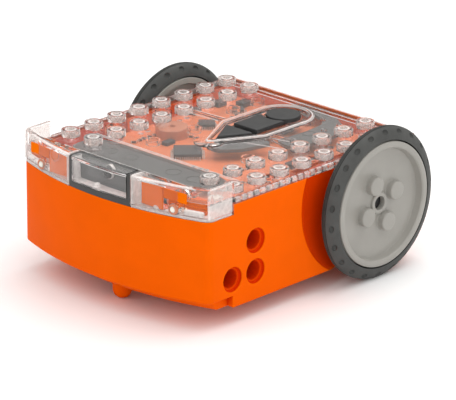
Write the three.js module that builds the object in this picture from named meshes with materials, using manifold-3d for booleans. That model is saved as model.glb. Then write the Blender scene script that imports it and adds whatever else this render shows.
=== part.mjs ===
// Two-wheel educational coding robot that fits an 8 mm building-brick system.
// Millimetres. +Z is up, the front faces -Y, the axles lie along X, z = 0 is the floor.
import * as THREE from 'three';
import { mergeVertices } from 'three/addons/utils/BufferGeometryUtils.js';
import Module from 'manifold-3d';

const wasm = await Module();
wasm.setup();

// ---- Driving dimensions -------------------------------------------------------------------

const PITCH = 8;                 // stud to stud
const STUD_R = 2.4;
const STUD_H = 1.8;
const STUD_ROWS = 8;
const STUD_GRID_Y = 5.25;        // middle of the stud grid
const STUD_COLUMNS = [-28, -20, 20, 28];
const PIN_HOLE_R = 2.45;
const PIN_SINK_R = 3.2;

const HALF_WIDTH = 31.9;         // eight studs wide
const FRONT_Y = -40.95;          // middle of the curved front
const FRONT_RADIUS = 88;
const CORNER_R = 2.3;
const REAR_Y = 38.55;
const FLAP_END_Y = -26.75;       // where the front block meets the plain sides

const BODY_BOTTOM = 4.4;
const FRONT_BOTTOM = 7.4;
const FOOT_INSET = 1.95;           // the foot under the front, from the plain sides
const FOOT_BACK = 2.95;            // and how far its front stands further back
const FRONT_TOP = 28.4;          // orange front wall, under the clear windows
const SHELF_TOP = 28.2;
const DECK_BOTTOM = 31;
const DECK_TOP = 32.6;
const RIM_TOP = 36.6;            // top of the clear front block
const WALL = 1.8;
const FLOOR_TOP = 6.6;
const SEAM = 0.1;                // gap between parts that rest on each other
const RUNNING = 0.3;             // gap beside a part that moves

const AXLE_Y = 21.3;
const AXLE_Z = 19.6;
const AXLE_R = 2.4;
const TYRE_R = 19.6;
const RIM_R = 16.2;
const RIM_IN = 32.5;             // wheel's inner plane
const RIM_OUT = 37.5;            // wheel's outer plane
const ARCH_Y = 18.05;
const ARCH_Z = 22.6;
const ARCH_R = 20.5;
const ARCH_DEPTH = 2.5;
const ARCH_FLAT_X = HALF_WIDTH - ARCH_DEPTH;
const BAY_HALF = 27.9;           // inside of the wall beside the gears

const MODULE = 0.6;
const PINION_TEETH = 10;
const LARGE_TEETH = 18;
const OUTPUT_TEETH = 18;
const GEAR_REACH = (MODULE * (PINION_TEETH + LARGE_TEETH)) / 2;
const COMPOUND_LEAN = -0.908;    // direction from the axle to the middle gear
const COMPOUND_Y = AXLE_Y + GEAR_REACH * Math.cos(COMPOUND_LEAN);
const COMPOUND_Z = AXLE_Z + GEAR_REACH * Math.sin(COMPOUND_LEAN);
const MOTOR_Y = 30.55;
const MOTOR_Z = COMPOUND_Z + Math.sqrt(GEAR_REACH ** 2 - (MOTOR_Y - COMPOUND_Y) ** 2);
const INNER_GEARS = [23.5, 25];
const OUTER_GEARS = [25.5, 27.4];

const PCB_BOTTOM = 26;
const PCB_TOP = 27.6;
const PCB_HALF = 27.4;
const PCB_FRONT = -28.4;
const PCB_REAR = 36.4;

const BOX_HALF = 22;             // battery compartment, inside
const BOX_FRONT = -25.9;
const BOX_REAR = 20.8;
const BOX_WALL = 1.2;
const BOX_TOP = 17.7;
const CELL_R = 5.2;
const CELL_LENGTH = 44;
const CELL_PITCH = 10.7;
const CELL_Z = 12.1;

const SCREWS = [[26.3, -9.5], [-26.3, -9.5], [25.55, 7.5], [-25.55, 7.5], [0, 33.4]];
const SKID_Y = -32.65;
const BUTTON_TOP = 33.5;

// ---- Materials ----------------------------------------------------------------------------

const finish = (color, roughness, metalness) => (
  new THREE.MeshStandardMaterial({ color, roughness, metalness })
);
const plastic = (color, roughness = 0.45) => finish(color, roughness, 0);
const metal = (color, roughness = 0.35) => finish(color, roughness, 0.9);

const ORANGE = 0xe85f05;
const CLEAR = 0xf2ece9;
const CHARCOAL = 0x5a5c5e;
const SHADOW_GREY = 0x6b6d70;
const BOARD_ORANGE = 0xd96a3c;
const CHIP_BLACK = 0x26272a;
const WARM_GREY = 0x96938c;
const TYRE_GREY = 0x4e504c;

// ---- Solids -------------------------------------------------------------------------------

function solid(geometry) {
  const bare = geometry.clone();
  bare.deleteAttribute('normal');
  bare.deleteAttribute('uv');
  const merged = mergeVertices(bare, 1e-4);
  const mesh = new wasm.Mesh({
    numProp: 3,
    vertProperties: new Float32Array(merged.attributes.position.array),
    triVerts: new Uint32Array(merged.index.array),
  });
  return new wasm.Manifold(mesh);
}

function geometryOf(body) {
  const mesh = body.getMesh();
  const geometry = new THREE.BufferGeometry();
  geometry.setAttribute('position', new THREE.BufferAttribute(mesh.vertProperties.slice(), 3));
  geometry.setIndex(new THREE.BufferAttribute(mesh.triVerts.slice(), 1));
  geometry.computeVertexNormals();
  return geometry;
}

function box(low, high) {
  const size = high.map((value, i) => value - low[i]);
  const geometry = new THREE.BoxGeometry(...size);
  geometry.translate(...high.map((value, i) => (value + low[i]) / 2));
  return solid(geometry);
}

// A box mirrored to the side (+1 or -1) that it is on; x is given as distances from the middle.
function sideBox(side, [x0, x1], y, z) {
  const xs = [side * x0, side * x1].sort((a, b) => a - b);
  return box([xs[0], y[0], z[0]], [xs[1], y[1], z[1]]);
}

function prism(shape, z0, z1, curveSegments = 4) {
  const geometry = new THREE.ExtrudeGeometry(shape, { depth: z1 - z0, bevelEnabled: false, curveSegments });
  geometry.translate(0, 0, z0);
  return solid(geometry);
}

function polygon(points) {
  return new THREE.Shape(points.map(([x, y]) => new THREE.Vector2(x, y)));
}

function circle(x, y, radius) {
  const shape = new THREE.Shape();
  shape.absarc(x, y, radius, 0, 2 * Math.PI);
  return shape;
}

// An upright rod, from z0 to z1.
function post(x, y, radius, z0, z1, segments = 16) {
  const geometry = new THREE.CylinderGeometry(radius, radius, z1 - z0, segments);
  geometry.rotateX(Math.PI / 2);
  geometry.translate(x, y, (z0 + z1) / 2);
  return solid(geometry);
}

// A turned body about an axis along X. The profile holds [distance outward, radius] pairs.
function turnedX(side, profile, y, z, segments) {
  const points = profile.map(([x, radius]) => new THREE.Vector2(radius, x));
  const geometry = new THREE.LatheGeometry(points, segments);
  geometry.rotateZ(-side * Math.PI / 2);
  geometry.translate(0, y, z);
  return solid(geometry);
}

function rodX(side, [x0, x1], y, z, radius, segments = 20) {
  return turnedX(side, [[x0, 0], [x0, radius], [x1, radius], [x1, 0]], y, z, segments);
}

// A turned body about an axis along Y. The profile holds [y, radius] pairs, rising in y.
function turnedY(x, z, profile, segments) {
  const geometry = new THREE.LatheGeometry(profile.map(([y, r]) => new THREE.Vector2(r, y)), segments);
  geometry.translate(x, 0, z);
  return solid(geometry);
}

const within = (body, low, high) => body.intersect(box(low, high));
const join = (first, ...rest) => rest.reduce((whole, piece) => whole.add(piece), first);
const cut = (first, ...rest) => rest.reduce((whole, piece) => whole.subtract(piece), first);

const robot = new THREE.Group();
robot.name = 'coding_robot';

function place(name, body, material) {
  const mesh = new THREE.Mesh(geometryOf(body), material);
  mesh.name = name;
  robot.add(mesh);
}

const sideName = (side) => (side > 0 ? 'right' : 'left');

// ---- Outline of the curved front ----------------------------------------------------------

// Plan outline, inset from the outer surface, closed by a straight line at yBack. Its front stands
// setBack further back.
function frontOutline(inset, yBack, setBack = 0) {
  const x = HALF_WIDTH - inset;
  const radius = FRONT_RADIUS - inset;
  const fillet = Math.max(CORNER_R - inset, 0.4);
  const centreY = FRONT_Y + FRONT_RADIUS + setBack;
  const filletX = x - fillet;
  const filletY = centreY - Math.sqrt((radius - fillet) ** 2 - filletX ** 2);
  const lean = Math.atan2(filletY - centreY, filletX);
  const shape = new THREE.Shape();
  shape.moveTo(x, yBack);
  shape.lineTo(-x, yBack);
  shape.lineTo(-x, filletY);
  shape.absarc(-filletX, filletY, fillet, Math.PI, 3 * Math.PI - lean - 2 * Math.PI, false);
  shape.absarc(0, centreY, radius, Math.PI - lean, lean + 2 * Math.PI, false);
  shape.absarc(filletX, filletY, fillet, lean, 0, false);
  shape.closePath();
  return shape;
}

// ---- Housing ------------------------------------------------------------------------------

const PIN_HOLES = [[-26.95, 11.8], [-18.95, 11.8], [-18.95, 19.7]];

function housingBlank() {
  const front = prism(frontOutline(0, -20), FRONT_BOTTOM, FRONT_TOP);
  const rear = box([-HALF_WIDTH, FLAP_END_Y, BODY_BOTTOM], [HALF_WIDTH, REAR_Y, DECK_BOTTOM]);
  const footPlan = frontOutline(FOOT_INSET, FLAP_END_Y + 0.2, FOOT_BACK);
  const foot = prism(footPlan, BODY_BOTTOM, FRONT_BOTTOM + 0.5);
  return join(front, rear, foot);
}

function housingHollow() {
  const front = prism(frontOutline(WALL, -26), FRONT_BOTTOM + 1.6, DECK_BOTTOM + 1);
  const foot = prism(frontOutline(FOOT_INSET + WALL, -29, FOOT_BACK), FLOOR_TOP, FRONT_BOTTOM + 3);
  const inner = HALF_WIDTH - WALL;
  const rear = box([-inner, -26.4, FLOOR_TOP], [inner, REAR_Y - WALL, DECK_BOTTOM + 1]);
  return join(front, foot, rear);
}

// The solid blocks that stand inside the shell.
function housingInside() {
  const blocks = [
    box([-BOX_HALF - BOX_WALL, BOX_FRONT - BOX_WALL, BODY_BOTTOM],
      [BOX_HALF + BOX_WALL, BOX_REAR + BOX_WALL, BOX_TOP + BOX_WALL]),
    box([-4.6, 29.8, FLOOR_TOP - 0.4], [4.6, REAR_Y - 0.5, PCB_BOTTOM]),
  ];
  for (const side of [1, -1]) {
    blocks.push(sideBox(side, [BOX_HALF, HALF_WIDTH - 0.5], [-31.4, -14.2], [FRONT_BOTTOM, PCB_BOTTOM]));
    blocks.push(sideBox(side, [BAY_HALF, HALF_WIDTH - 0.5], [-2.9, REAR_Y - 0.5],
      [BODY_BOTTOM, DECK_BOTTOM]));
    blocks.push(sideBox(side, [11, HALF_WIDTH - 1.6], [-30.2, -28.8],
      [FLOOR_TOP - 0.4, DECK_BOTTOM - 0.2]));
    // shelf behind each front window
    blocks.push(sideBox(side, [11.6, HALF_WIDTH - 1.6], [-40, -30], [SHELF_TOP - 1.4, SHELF_TOP]));
  }
  blocks.push(box([-11.5, -30.2, FLOOR_TOP - 0.4], [11.5, -28.8, PCB_BOTTOM + 1]));
  for (const [x, y] of SCREWS) {
    blocks.push(post(x, y, 2.15, BODY_BOTTOM, PCB_BOTTOM, 12));
  }
  return join(...blocks);
}

function wheelArch(side) {
  const profile = [
    [ARCH_FLAT_X, 0], [ARCH_FLAT_X, ARCH_R - 3], [HALF_WIDTH + 0.5, ARCH_R + 0.6], [HALF_WIDTH + 0.5, 0],
  ];
  return turnedX(side, profile, ARCH_Y, ARCH_Z, 36);
}

function housing() {
  let body = cut(housingBlank(), cut(housingHollow(), housingInside()));
  body = cut(body, box([-BOX_HALF, BOX_FRONT, BODY_BOTTOM - 1], [BOX_HALF, BOX_REAR, BOX_TOP]));
  body = cut(body, box([-BOX_HALF - 1.4, BOX_FRONT - 0.5, BODY_BOTTOM - 1],
    [BOX_HALF + 1.4, BOX_REAR + 0.7, 5.9]));
  for (const side of [1, -1]) {
    body = cut(body, wheelArch(side));
    body = join(body, rodX(side, [BAY_HALF + 0.4, 31.4], AXLE_Y, AXLE_Z, 4.2, 24));
    body = cut(body, rodX(side, [BAY_HALF - 1, 33], AXLE_Y, AXLE_Z, AXLE_R + 0.1, 24));
    body = cut(body, rodX(side, [BAY_HALF - 1, 29], COMPOUND_Y, COMPOUND_Z, 0.85, 10));
    for (const [y, z] of PIN_HOLES) {
      body = cut(body, rodX(side, [HALF_WIDTH - PITCH, HALF_WIDTH + 1], y, z, PIN_HOLE_R, 16));
      body = cut(body, rodX(side, [HALF_WIDTH - 0.9, HALF_WIDTH + 1], y, z, PIN_SINK_R, 16));
    }
    body = cut(body, post(side * 6.5, -33, 1.65, BODY_BOTTOM - 1, FRONT_BOTTOM + 1.8, 12),
      post(side * 6.5, -33, 2.1, FRONT_BOTTOM + 0.4, FRONT_BOTTOM + 1.8, 12));
  }
  for (const [x, y] of SCREWS) {
    body = cut(body, post(x, y, 2.0, BODY_BOTTOM - 1, 6.2, 12), post(x, y, 1.1, 5, 24, 10));
  }
  body = cut(body, post(0, SKID_Y, STUD_R + 0.1, BODY_BOTTOM - 1, FRONT_BOTTOM + 1.8, 16));
  return cut(body, box([-3.8, 26.2, BODY_BOTTOM - 1], [3.8, 29.2, FLOOR_TOP + 1]));
}

// ---- Clear top cover ----------------------------------------------------------------------

const LAMP_X = 22.6;
const LAMP_Z = 30.3;
const LAMP_R = 1.3;
const BEZEL_R = 7.8;
const BEZEL_Y = 24.45;
const ROUND_BUTTON_Y = 24.65;
const ROUND_BUTTON_R = 4.4;
const SHIELD_X = 10.4;           // outer faces of the dark frame around the middle window
const POST_T = 0.9;
const FRAME_FIT = 0.15;          // gap beside the dark frame
const BLOCK_BACK_Y = -36.3;      // straight rear edge of the clear front block

const SILL_KNOBS = [[-28.3, -35.5], [-23, -36.1], [-17.6, -36.6], [16.4, -36.6], [22, -36.1]];

function studCentres() {
  const centres = [];
  for (const x of STUD_COLUMNS) {
    for (let row = 0; row < STUD_ROWS; row += 1) {
      centres.push([x, STUD_GRID_Y + (row - (STUD_ROWS - 1) / 2) * PITCH]);
    }
  }
  return centres;
}

function teardrop(grow) {
  const radius = BEZEL_R + grow;
  const shape = new THREE.Shape();
  shape.moveTo(0, -3.6 - 1.5 * grow);
  shape.lineTo(BEZEL_R - 0.1 + grow, 10.2);
  shape.absarc(0, BEZEL_Y, radius, -0.15, Math.PI + 0.15, false);
  shape.lineTo(-BEZEL_R + 0.1 - grow, 10.2);
  shape.closePath();
  return shape;
}

function triangleOutline(grow) {
  const x = 4.8 + 1.3 * grow;
  const base = 8.85 + grow;
  return polygon([[-x, base], [0, 0.25 - 2.1 * grow], [x, base]]);
}

// Square button with a hollow rear edge that follows the round button.
function squareOutline(grow) {
  const shape = new THREE.Shape();
  const x = 4.1 + grow;
  const hollow = ROUND_BUTTON_R + 0.75 - grow;
  const corner = 20.9 + grow / 2;
  const lean = Math.asin((ROUND_BUTTON_Y - corner) / hollow);
  shape.moveTo(-x, 10.6 - grow);
  shape.lineTo(x, 10.6 - grow);
  shape.lineTo(x, corner);
  shape.absarc(0, ROUND_BUTTON_Y, hollow, -lean, -Math.PI + lean, true);
  shape.lineTo(-x, corner);
  shape.closePath();
  return shape;
}

function frontBlock() {
  let block = prism(frontOutline(0, FLAP_END_Y), FRONT_TOP, RIM_TOP);
  // above the deck only the curved wall, the flat top and the two corner flaps are left
  const inside = prism(frontOutline(1.3, FLAP_END_Y + 1), DECK_TOP, RIM_TOP + 1);
  block = cut(block, within(inside, [-HALF_WIDTH, BLOCK_BACK_Y, 0], [HALF_WIDTH, 0, 50]));
  // hollow behind the windows, open at the bottom
  const hollow = prism(frontOutline(1.3, FLAP_END_Y + 1), FRONT_TOP - 1, RIM_TOP - 1.2);
  block = cut(block, within(hollow, [-HALF_WIDTH, -50, 0], [HALF_WIDTH, BLOCK_BACK_Y - 0.9, 50]));
  block = cut(block, within(hollow, [-HALF_WIDTH, -50, 0], [HALF_WIDTH, 0, DECK_BOTTOM]));
  // slots for the dark frame's side plates, and the space for its bottom bar
  const slotX = [SHIELD_X - POST_T - FRAME_FIT, SHIELD_X + FRAME_FIT];
  for (const side of [1, -1]) {
    block = cut(block, sideBox(side, slotX, [-42, BLOCK_BACK_Y + 0.2], [FRONT_TOP - 1, RIM_TOP + 1]));
  }
  block = cut(block, box([-SHIELD_X, -42, FRONT_TOP - 1], [SHIELD_X, -38, FRONT_TOP + 1.7]));
  for (const side of [1, -1]) {
    const sill = prism(frontOutline(1.2, -30), FRONT_TOP, FRONT_TOP + 0.8);
    const xs = [side * (SHIELD_X + FRAME_FIT), side * (HALF_WIDTH - 1)].sort((a, b) => a - b);
    block = join(block, within(sill, [xs[0], -45, 0], [xs[1], -34.7, 50]));
  }
  for (const [x, y] of SILL_KNOBS) {
    block = join(block, post(x, y, 0.95, FRONT_TOP + 0.5, FRONT_TOP + 1.9, 10));
  }
  return block;
}

function topCover() {
  const deck = box([-HALF_WIDTH, FLAP_END_Y - 0.5, DECK_BOTTOM], [HALF_WIDTH, REAR_Y, DECK_TOP]);
  let cover = join(frontBlock(), deck);
  for (const [x, y] of studCentres()) {
    cover = join(cover, post(x, y, STUD_R, DECK_TOP - 0.3, DECK_TOP + STUD_H, 12));
  }
  cover = join(cover, prism(teardrop(0), DECK_TOP - 0.5, DECK_TOP + 0.7, 10));
  cover = cut(cover, prism(teardrop(-1.3), DECK_TOP, DECK_TOP + 2, 10));
  const roundOpening = circle(0, ROUND_BUTTON_Y, ROUND_BUTTON_R + 2 * RUNNING);
  const openings = [triangleOutline(RUNNING), squareOutline(RUNNING), roundOpening];
  for (const outline of openings) {
    cover = cut(cover, prism(outline, DECK_BOTTOM - 1, DECK_TOP + 2, 10));
  }
  for (const [x, y] of SCREWS) {
    cover = join(cover, post(x, y, 2.15, PCB_BOTTOM + SEAM, DECK_BOTTOM + 0.5, 12));
    cover = cut(cover, post(x, y, 0.8, PCB_BOTTOM - 1, DECK_BOTTOM - 1, 8));
  }
  for (const side of [1, -1]) {
    const room = LAMP_R + 0.2;
    const lampRoom = turnedY(side * LAMP_X, LAMP_Z, [[-35, 0], [-35, room], [-29, room], [-29, 0]], 12);
    cover = cut(cover, within(lampRoom, [-40, -50, 28], [40, 0, 40]));
  }
  return cover;
}

// ---- Dark plates under the clear cover ----------------------------------------------------

function sensorShield() {
  const plate = box([-23.5, -33.4, 29.6], [23.5, -15.2, 30.6]);
  let shield = cut(plate, box([11.2, -40, 29], [24, -27.4, 31]), box([-24, -40, 29], [-11.2, -27.4, 31]));
  const bar = prism(frontOutline(0.1, -30), FRONT_TOP + 0.05, FRONT_TOP + 1.5);
  shield = join(shield, within(bar, [-SHIELD_X, -50, 0], [SHIELD_X, -39.3, 50]));
  const side = prism(frontOutline(0.1, -30), FRONT_TOP + 0.05, RIM_TOP - 0.1);
  for (const s of [1, -1]) {
    const xs = [s * SHIELD_X, s * (SHIELD_X - POST_T)].sort((a, b) => a - b);
    shield = join(shield, within(side, [xs[0], -50, 0], [xs[1], BLOCK_BACK_Y, 50]));
    shield = join(shield, box([xs[0], -38, FRONT_TOP + 0.05], [xs[1], -33, 30.6]));
  }
  return shield;
}

function rearPlate() {
  const plate = box([-5, 7, 29.6], [17.3, REAR_Y - WALL - SEAM, 30.6]);
  return cut(plate, prism(teardrop(0.8), 29, 31, 6), post(0, 33.4, 2.6, 29, 31, 12));
}

// ---- Circuit board and what is on it ------------------------------------------------------

const CHIP_TURN = Math.PI / 4;

function circuitBoard() {
  let board = box([-PCB_HALF, PCB_FRONT, PCB_BOTTOM + 0.02], [PCB_HALF, PCB_REAR, PCB_TOP]);
  for (const [x, y] of SCREWS) {
    board = cut(board, post(x, y, 2.6, PCB_BOTTOM - 1, PCB_TOP + 1, 12));
  }
  return board;
}

function turnedBox(width, depth, z0, z1, x, y, turn) {
  const geometry = new THREE.BoxGeometry(width, depth, z1 - z0);
  geometry.rotateZ(turn);
  geometry.translate(x, y, (z0 + z1) / 2);
  return solid(geometry);
}

// A leaded chip: a body with a low skirt where its row of legs lies.
function chip(size, height, x, y) {
  const legs = turnedBox(size + 1.6, size + 1.6, PCB_TOP, PCB_TOP + 0.35, x, y, CHIP_TURN);
  return join(legs, turnedBox(size, size, PCB_TOP, PCB_TOP + height, x, y, CHIP_TURN));
}

function infraredReceiver() {
  const upright = box([-1.4, -38.8, 28.1], [4.4, -37.3, 35]);
  const foot = box([-1.4, -38.8, 28.1], [4.4, -30.6, 29.2]);
  const ball = new THREE.SphereGeometry(1.35, 12, 8);
  ball.translate(1.5, -38.2, 33.7);
  const lens = within(solid(ball), [0, -39.4, 30], [3, -37.6, 36]);
  return join(upright, foot, lens);
}

// Round lamp looking forward, its back against the orange wall.
function infraredLamp(side) {
  const profile = [[-34.2, 0], [-34, 0.7], [-33.2, LAMP_R], [-30.25, LAMP_R], [-30.25, 0]];
  return turnedY(side * LAMP_X, LAMP_Z, profile, 14);
}

function lightSensor(side) {
  return box([side * 15 - 1.5, -33.2, 28.5], [side * 15 + 1.5, -30.25, 30.4]);
}

function indicatorLamp(side) {
  return box([side * 26 - 0.8, -27.6, PCB_TOP], [side * 26 + 0.8, -24.4, PCB_TOP + 1.1]);
}

function buzzer() {
  return cut(post(-17.5, 2.5, 4.2, PCB_TOP, 30.2, 20), post(-17.5, 2.5, 0.7, 29.4, 31, 8));
}

const BUTTON_CENTRES = { triangle: 5.9, square: 13.9, round: ROUND_BUTTON_Y };

function tactSwitch(y) {
  const body = box([-2, y - 2, PCB_TOP], [2, y + 2, PCB_TOP + 0.9]);
  return join(body, post(0, y, 1, PCB_TOP + 0.5, 28.85, 10));
}

// ---- Buttons ------------------------------------------------------------------------------

const BUTTON_CAP_BOTTOM = 30.7;
const BUTTON_STEM_BOTTOM = 29.65;

function button(outline, flange, y) {
  const cap = prism(outline, BUTTON_CAP_BOTTOM - 0.2, BUTTON_TOP, 10);
  const lip = prism(flange, BUTTON_CAP_BOTTOM - 0.8, BUTTON_CAP_BOTTOM - 0.1, 10);
  return join(cap, lip, post(0, y, 1.5, BUTTON_STEM_BOTTOM, BUTTON_CAP_BOTTOM, 10));
}

// ---- Power switch, line sensor, skid, door, screws ----------------------------------------

const SWITCH_Y = 27.7;
const SWITCH_TRAVEL = 2;
const KNOB_X = -1;

function switchBody() {
  const body = box([-5, 25.4, FLOOR_TOP], [5, 29.4, 11]);
  const slotEnd = KNOB_X + 1.5 + SWITCH_TRAVEL;
  return cut(body, box([KNOB_X - 1.5, SWITCH_Y - 1.2, 6], [slotEnd, SWITCH_Y + 1.2, 9.3]));
}

function switchKnob() {
  const stem = box([KNOB_X - 1.2, SWITCH_Y - 0.9, 5.6], [KNOB_X + 1.2, SWITCH_Y + 0.9, 9]);
  return join(stem, box([KNOB_X - 1.6, SWITCH_Y - 1.1, 4.7], [KNOB_X + 1.6, SWITCH_Y + 1.1, 5.8]));
}

function lineBoard() {
  return cut(box([-10, -36, 9.7], [10, -31.4, 10.9]), post(0, SKID_Y, 2.7, 9, 12, 14));
}

function linePart(side) {
  return join(post(side * 6.5, -33, 1.5, 5.2, 8.6, 12), post(side * 6.5, -33, 1.9, 8, 9.7, 12));
}

// A peg with a round end that the nose of the robot slides on. It pulls out downwards.
function skid() {
  const profile = [[0, 0]];
  const steps = 4;
  for (let i = 1; i <= steps; i += 1) {
    const angle = (i / steps) * Math.PI / 2;
    profile.push([STUD_R * (1 - Math.cos(angle)), STUD_R * Math.sin(angle)]);
  }
  profile.push([8.8, STUD_R], [8.8, 0]);
  const geometry = new THREE.LatheGeometry(profile.map(([z, r]) => new THREE.Vector2(r, z)), 16);
  geometry.rotateX(Math.PI / 2);
  geometry.translate(0, SKID_Y, 0);
  return solid(geometry);
}

function batteryDoor() {
  const x = BOX_HALF + 1.1;
  const plate = box([-x, BOX_FRONT - 0.1, BODY_BOTTOM], [x, BOX_REAR + 0.4, 5.7]);
  const grip = box([-5, BOX_REAR - 3.4, BODY_BOTTOM - 1], [5, BOX_REAR - 1.6, 5]);
  return cut(plate, grip);
}

function screw(x, y) {
  const head = cut(post(x, y, 1.8, 5, 6.1, 12), box([x - 1.2, y - 0.25, 4.5], [x + 1.2, y + 0.25, 5.5]));
  return join(head, post(x, y, 0.95, 6, 20, 8));
}

// ---- Batteries ----------------------------------------------------------------------------

const CELLS = [-1.5, -0.5, 0.5, 1.5];   // in cell pitches from the middle

// One cell; flip turns the button end to the front.
function cell(index, flip) {
  const middle = (BOX_FRONT + BOX_REAR) / 2;
  const half = CELL_LENGTH / 2;
  const profile = [[-half, 0], [-half, CELL_R - 0.4], [-half + 0.4, CELL_R], [half - 1.4, CELL_R],
    [half - 1, CELL_R - 0.5], [half - 1, 1.9], [half, 1.9], [half, 0]];
  const placed = profile.map(([y, r]) => [middle + flip * y, r]);
  const rising = flip > 0 ? placed : placed.toReversed();
  return turnedY(CELLS[index] * CELL_PITCH, CELL_Z, rising, 18);
}

// A contact plate from y0 to y1 with a round boss that reaches to tip behind each cell.
function contacts(y0, y1, tip) {
  const plate = box([-21, y0, 7.4], [21, y1, 17]);
  const start = Math.min(y0, tip);
  const end = Math.max(y1, tip);
  const profile = [[start, 0], [start, 2], [end, 2], [end, 0]];
  return join(plate, ...CELLS.map((offset) => turnedY(offset * CELL_PITCH, CELL_Z, profile, 10)));
}

// ---- Motors and gears ---------------------------------------------------------------------

// Involute outline of a spur gear, with a bore. phase turns the first tooth, in tooth pitches.
function gearOutline(teeth, phase, boreR) {
  const pitchR = (MODULE * teeth) / 2;
  const baseR = pitchR * Math.cos(Math.PI / 9);
  const tipR = pitchR + MODULE * 0.95;
  const rootR = pitchR - MODULE * 1.25;
  const involute = (r) => (r <= baseR ? 0 : Math.sqrt((r / baseR) ** 2 - 1) - Math.acos(baseR / r));
  const halfTooth = Math.PI / (2 * teeth) - 0.045 / pitchR;
  const flank = (r) => halfTooth + involute(pitchR) - involute(r);
  const radii = [rootR, pitchR, tipR];
  const points = [];
  for (let i = 0; i < teeth; i += 1) {
    const middle = ((i + phase) / teeth) * 2 * Math.PI;
    for (const r of radii) {
      points.push([middle - flank(r), r]);
    }
    for (const r of [...radii].reverse()) {
      points.push([middle + flank(r), r]);
    }
  }
  const shape = polygon(points.map(([angle, r]) => [r * Math.cos(angle), r * Math.sin(angle)]));
  shape.holes.push(new THREE.Path().absarc(0, 0, boreR, 0, 2 * Math.PI, true));
  return shape;
}

// A gear whose outline is drawn in the YZ plane and runs from x0 to x1 outward.
function gear(side, teeth, phase, boreR, [x0, x1], [y, z]) {
  const geometry = new THREE.ExtrudeGeometry(gearOutline(teeth, phase, boreR), {
    depth: x1 - x0,
    bevelEnabled: false,
    curveSegments: 8,
  });
  geometry.rotateY(Math.PI / 2);
  geometry.rotateX(Math.PI / 2);
  geometry.translate(side > 0 ? x0 : -x1, y, z);
  return solid(geometry);
}

// Phase, in tooth pitches, that puts a tooth gap of the follower on a tooth of the driver.
function meshPhase(direction, teeth) {
  const turns = (direction / (2 * Math.PI)) * teeth;
  return turns - Math.floor(turns);
}

const AXLE_AT = [AXLE_Y, AXLE_Z];
const COMPOUND_AT = [COMPOUND_Y, COMPOUND_Z];
const MOTOR_AT = [MOTOR_Y, MOTOR_Z];
const towards = ([y0, z0], [y1, z1]) => Math.atan2(z1 - z0, y1 - y0);
const OUT_TO_SMALL = towards(AXLE_AT, COMPOUND_AT);
const LARGE_TO_PINION = towards(COMPOUND_AT, MOTOR_AT);
const PIN_BORE = 0.85;

function outputGear(side) {
  const phase = meshPhase(OUT_TO_SMALL, OUTPUT_TEETH);
  return gear(side, OUTPUT_TEETH, phase, AXLE_R + SEAM, OUTER_GEARS, AXLE_AT);
}

function compoundGear(side) {
  const smallPhase = meshPhase(OUT_TO_SMALL + Math.PI, PINION_TEETH) + 0.5;
  const smallX = [INNER_GEARS[1] - 0.2, OUTER_GEARS[1]];
  const small = gear(side, PINION_TEETH, smallPhase, PIN_BORE, smallX, COMPOUND_AT);
  const largePhase = meshPhase(LARGE_TO_PINION, LARGE_TEETH);
  return join(gear(side, LARGE_TEETH, largePhase, PIN_BORE, INNER_GEARS, COMPOUND_AT), small);
}

function motorPinion(side) {
  const phase = meshPhase(LARGE_TO_PINION + Math.PI, PINION_TEETH) + 0.5;
  const x = [INNER_GEARS[0] - 0.2, INNER_GEARS[1] + 0.2];
  return gear(side, PINION_TEETH, phase, PIN_BORE, x, MOTOR_AT);
}

const MOTOR_X = [5.2, 20.4];

// Small flat-sided motor can with a collar round its shaft.
function motor(side) {
  const can = rodX(side, MOTOR_X, MOTOR_Y, MOTOR_Z, 5.9, 20);
  const flat = within(can, [-30, 20, MOTOR_Z - 4.9], [30, 50, MOTOR_Z + 4.9]);
  const collar = rodX(side, [MOTOR_X[1] - 0.5, MOTOR_X[1] + 0.8], MOTOR_Y, MOTOR_Z, 2.2, 14);
  return cut(join(flat, collar), rodX(side, [MOTOR_X[1] - 4, MOTOR_X[1] + 2], MOTOR_Y, MOTOR_Z, 0.9, 10));
}

const SHAFT_X = [MOTOR_X[1] - 3.5, INNER_GEARS[1] + 0.5];
const motorShaft = (side) => rodX(side, SHAFT_X, MOTOR_Y, MOTOR_Z, 0.75, 10);
const gearPin = (side) => rodX(side, [21.4, 28.8], COMPOUND_Y, COMPOUND_Z, 0.75, 10);

// ---- Wheels -------------------------------------------------------------------------------

const WHEEL_STUD_TURN = 0.37;
const DISC_IN = 33.9;
const DISC_OUT = 35.35;
const RING_R = 14;
const AXLE_OUT = 34.3;
const COLLAR_R = 2.7;
const CENTRE_HOLE_R = 1.75;

function wheelRim(side) {
  const profile = [
    [RIM_IN, AXLE_R + SEAM], [RIM_IN, 4.2], [DISC_IN, 4.2], [DISC_IN, RING_R],
    [RIM_IN, RING_R + 0.6], [RIM_IN, RIM_R], [34.2, RIM_R], [34.5, RIM_R - 0.6], [35.5, RIM_R - 0.6],
    [35.8, RIM_R], [RIM_OUT, RIM_R], [RIM_OUT, RING_R + 0.3], [DISC_OUT, RING_R], [DISC_OUT, COLLAR_R],
    [DISC_OUT + 0.6, COLLAR_R], [DISC_OUT + 0.6, CENTRE_HOLE_R], [AXLE_OUT + 0.2, CENTRE_HOLE_R],
    [AXLE_OUT + 0.2, AXLE_R + SEAM], [RIM_IN, AXLE_R + SEAM],
  ];
  let rim = turnedX(side, profile, AXLE_Y, AXLE_Z, 32);
  for (let corner = 0; corner < 4; corner += 1) {
    const angle = Math.PI / 4 + corner * Math.PI / 2 - side * WHEEL_STUD_TURN;
    const reach = PITCH / Math.SQRT2;
    const y = AXLE_Y + reach * Math.cos(angle);
    const z = AXLE_Z + reach * Math.sin(angle);
    rim = join(rim, rodX(side, [DISC_OUT - 0.4, DISC_OUT + STUD_H], y, z, STUD_R, 14));
  }
  return rim;
}

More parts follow.
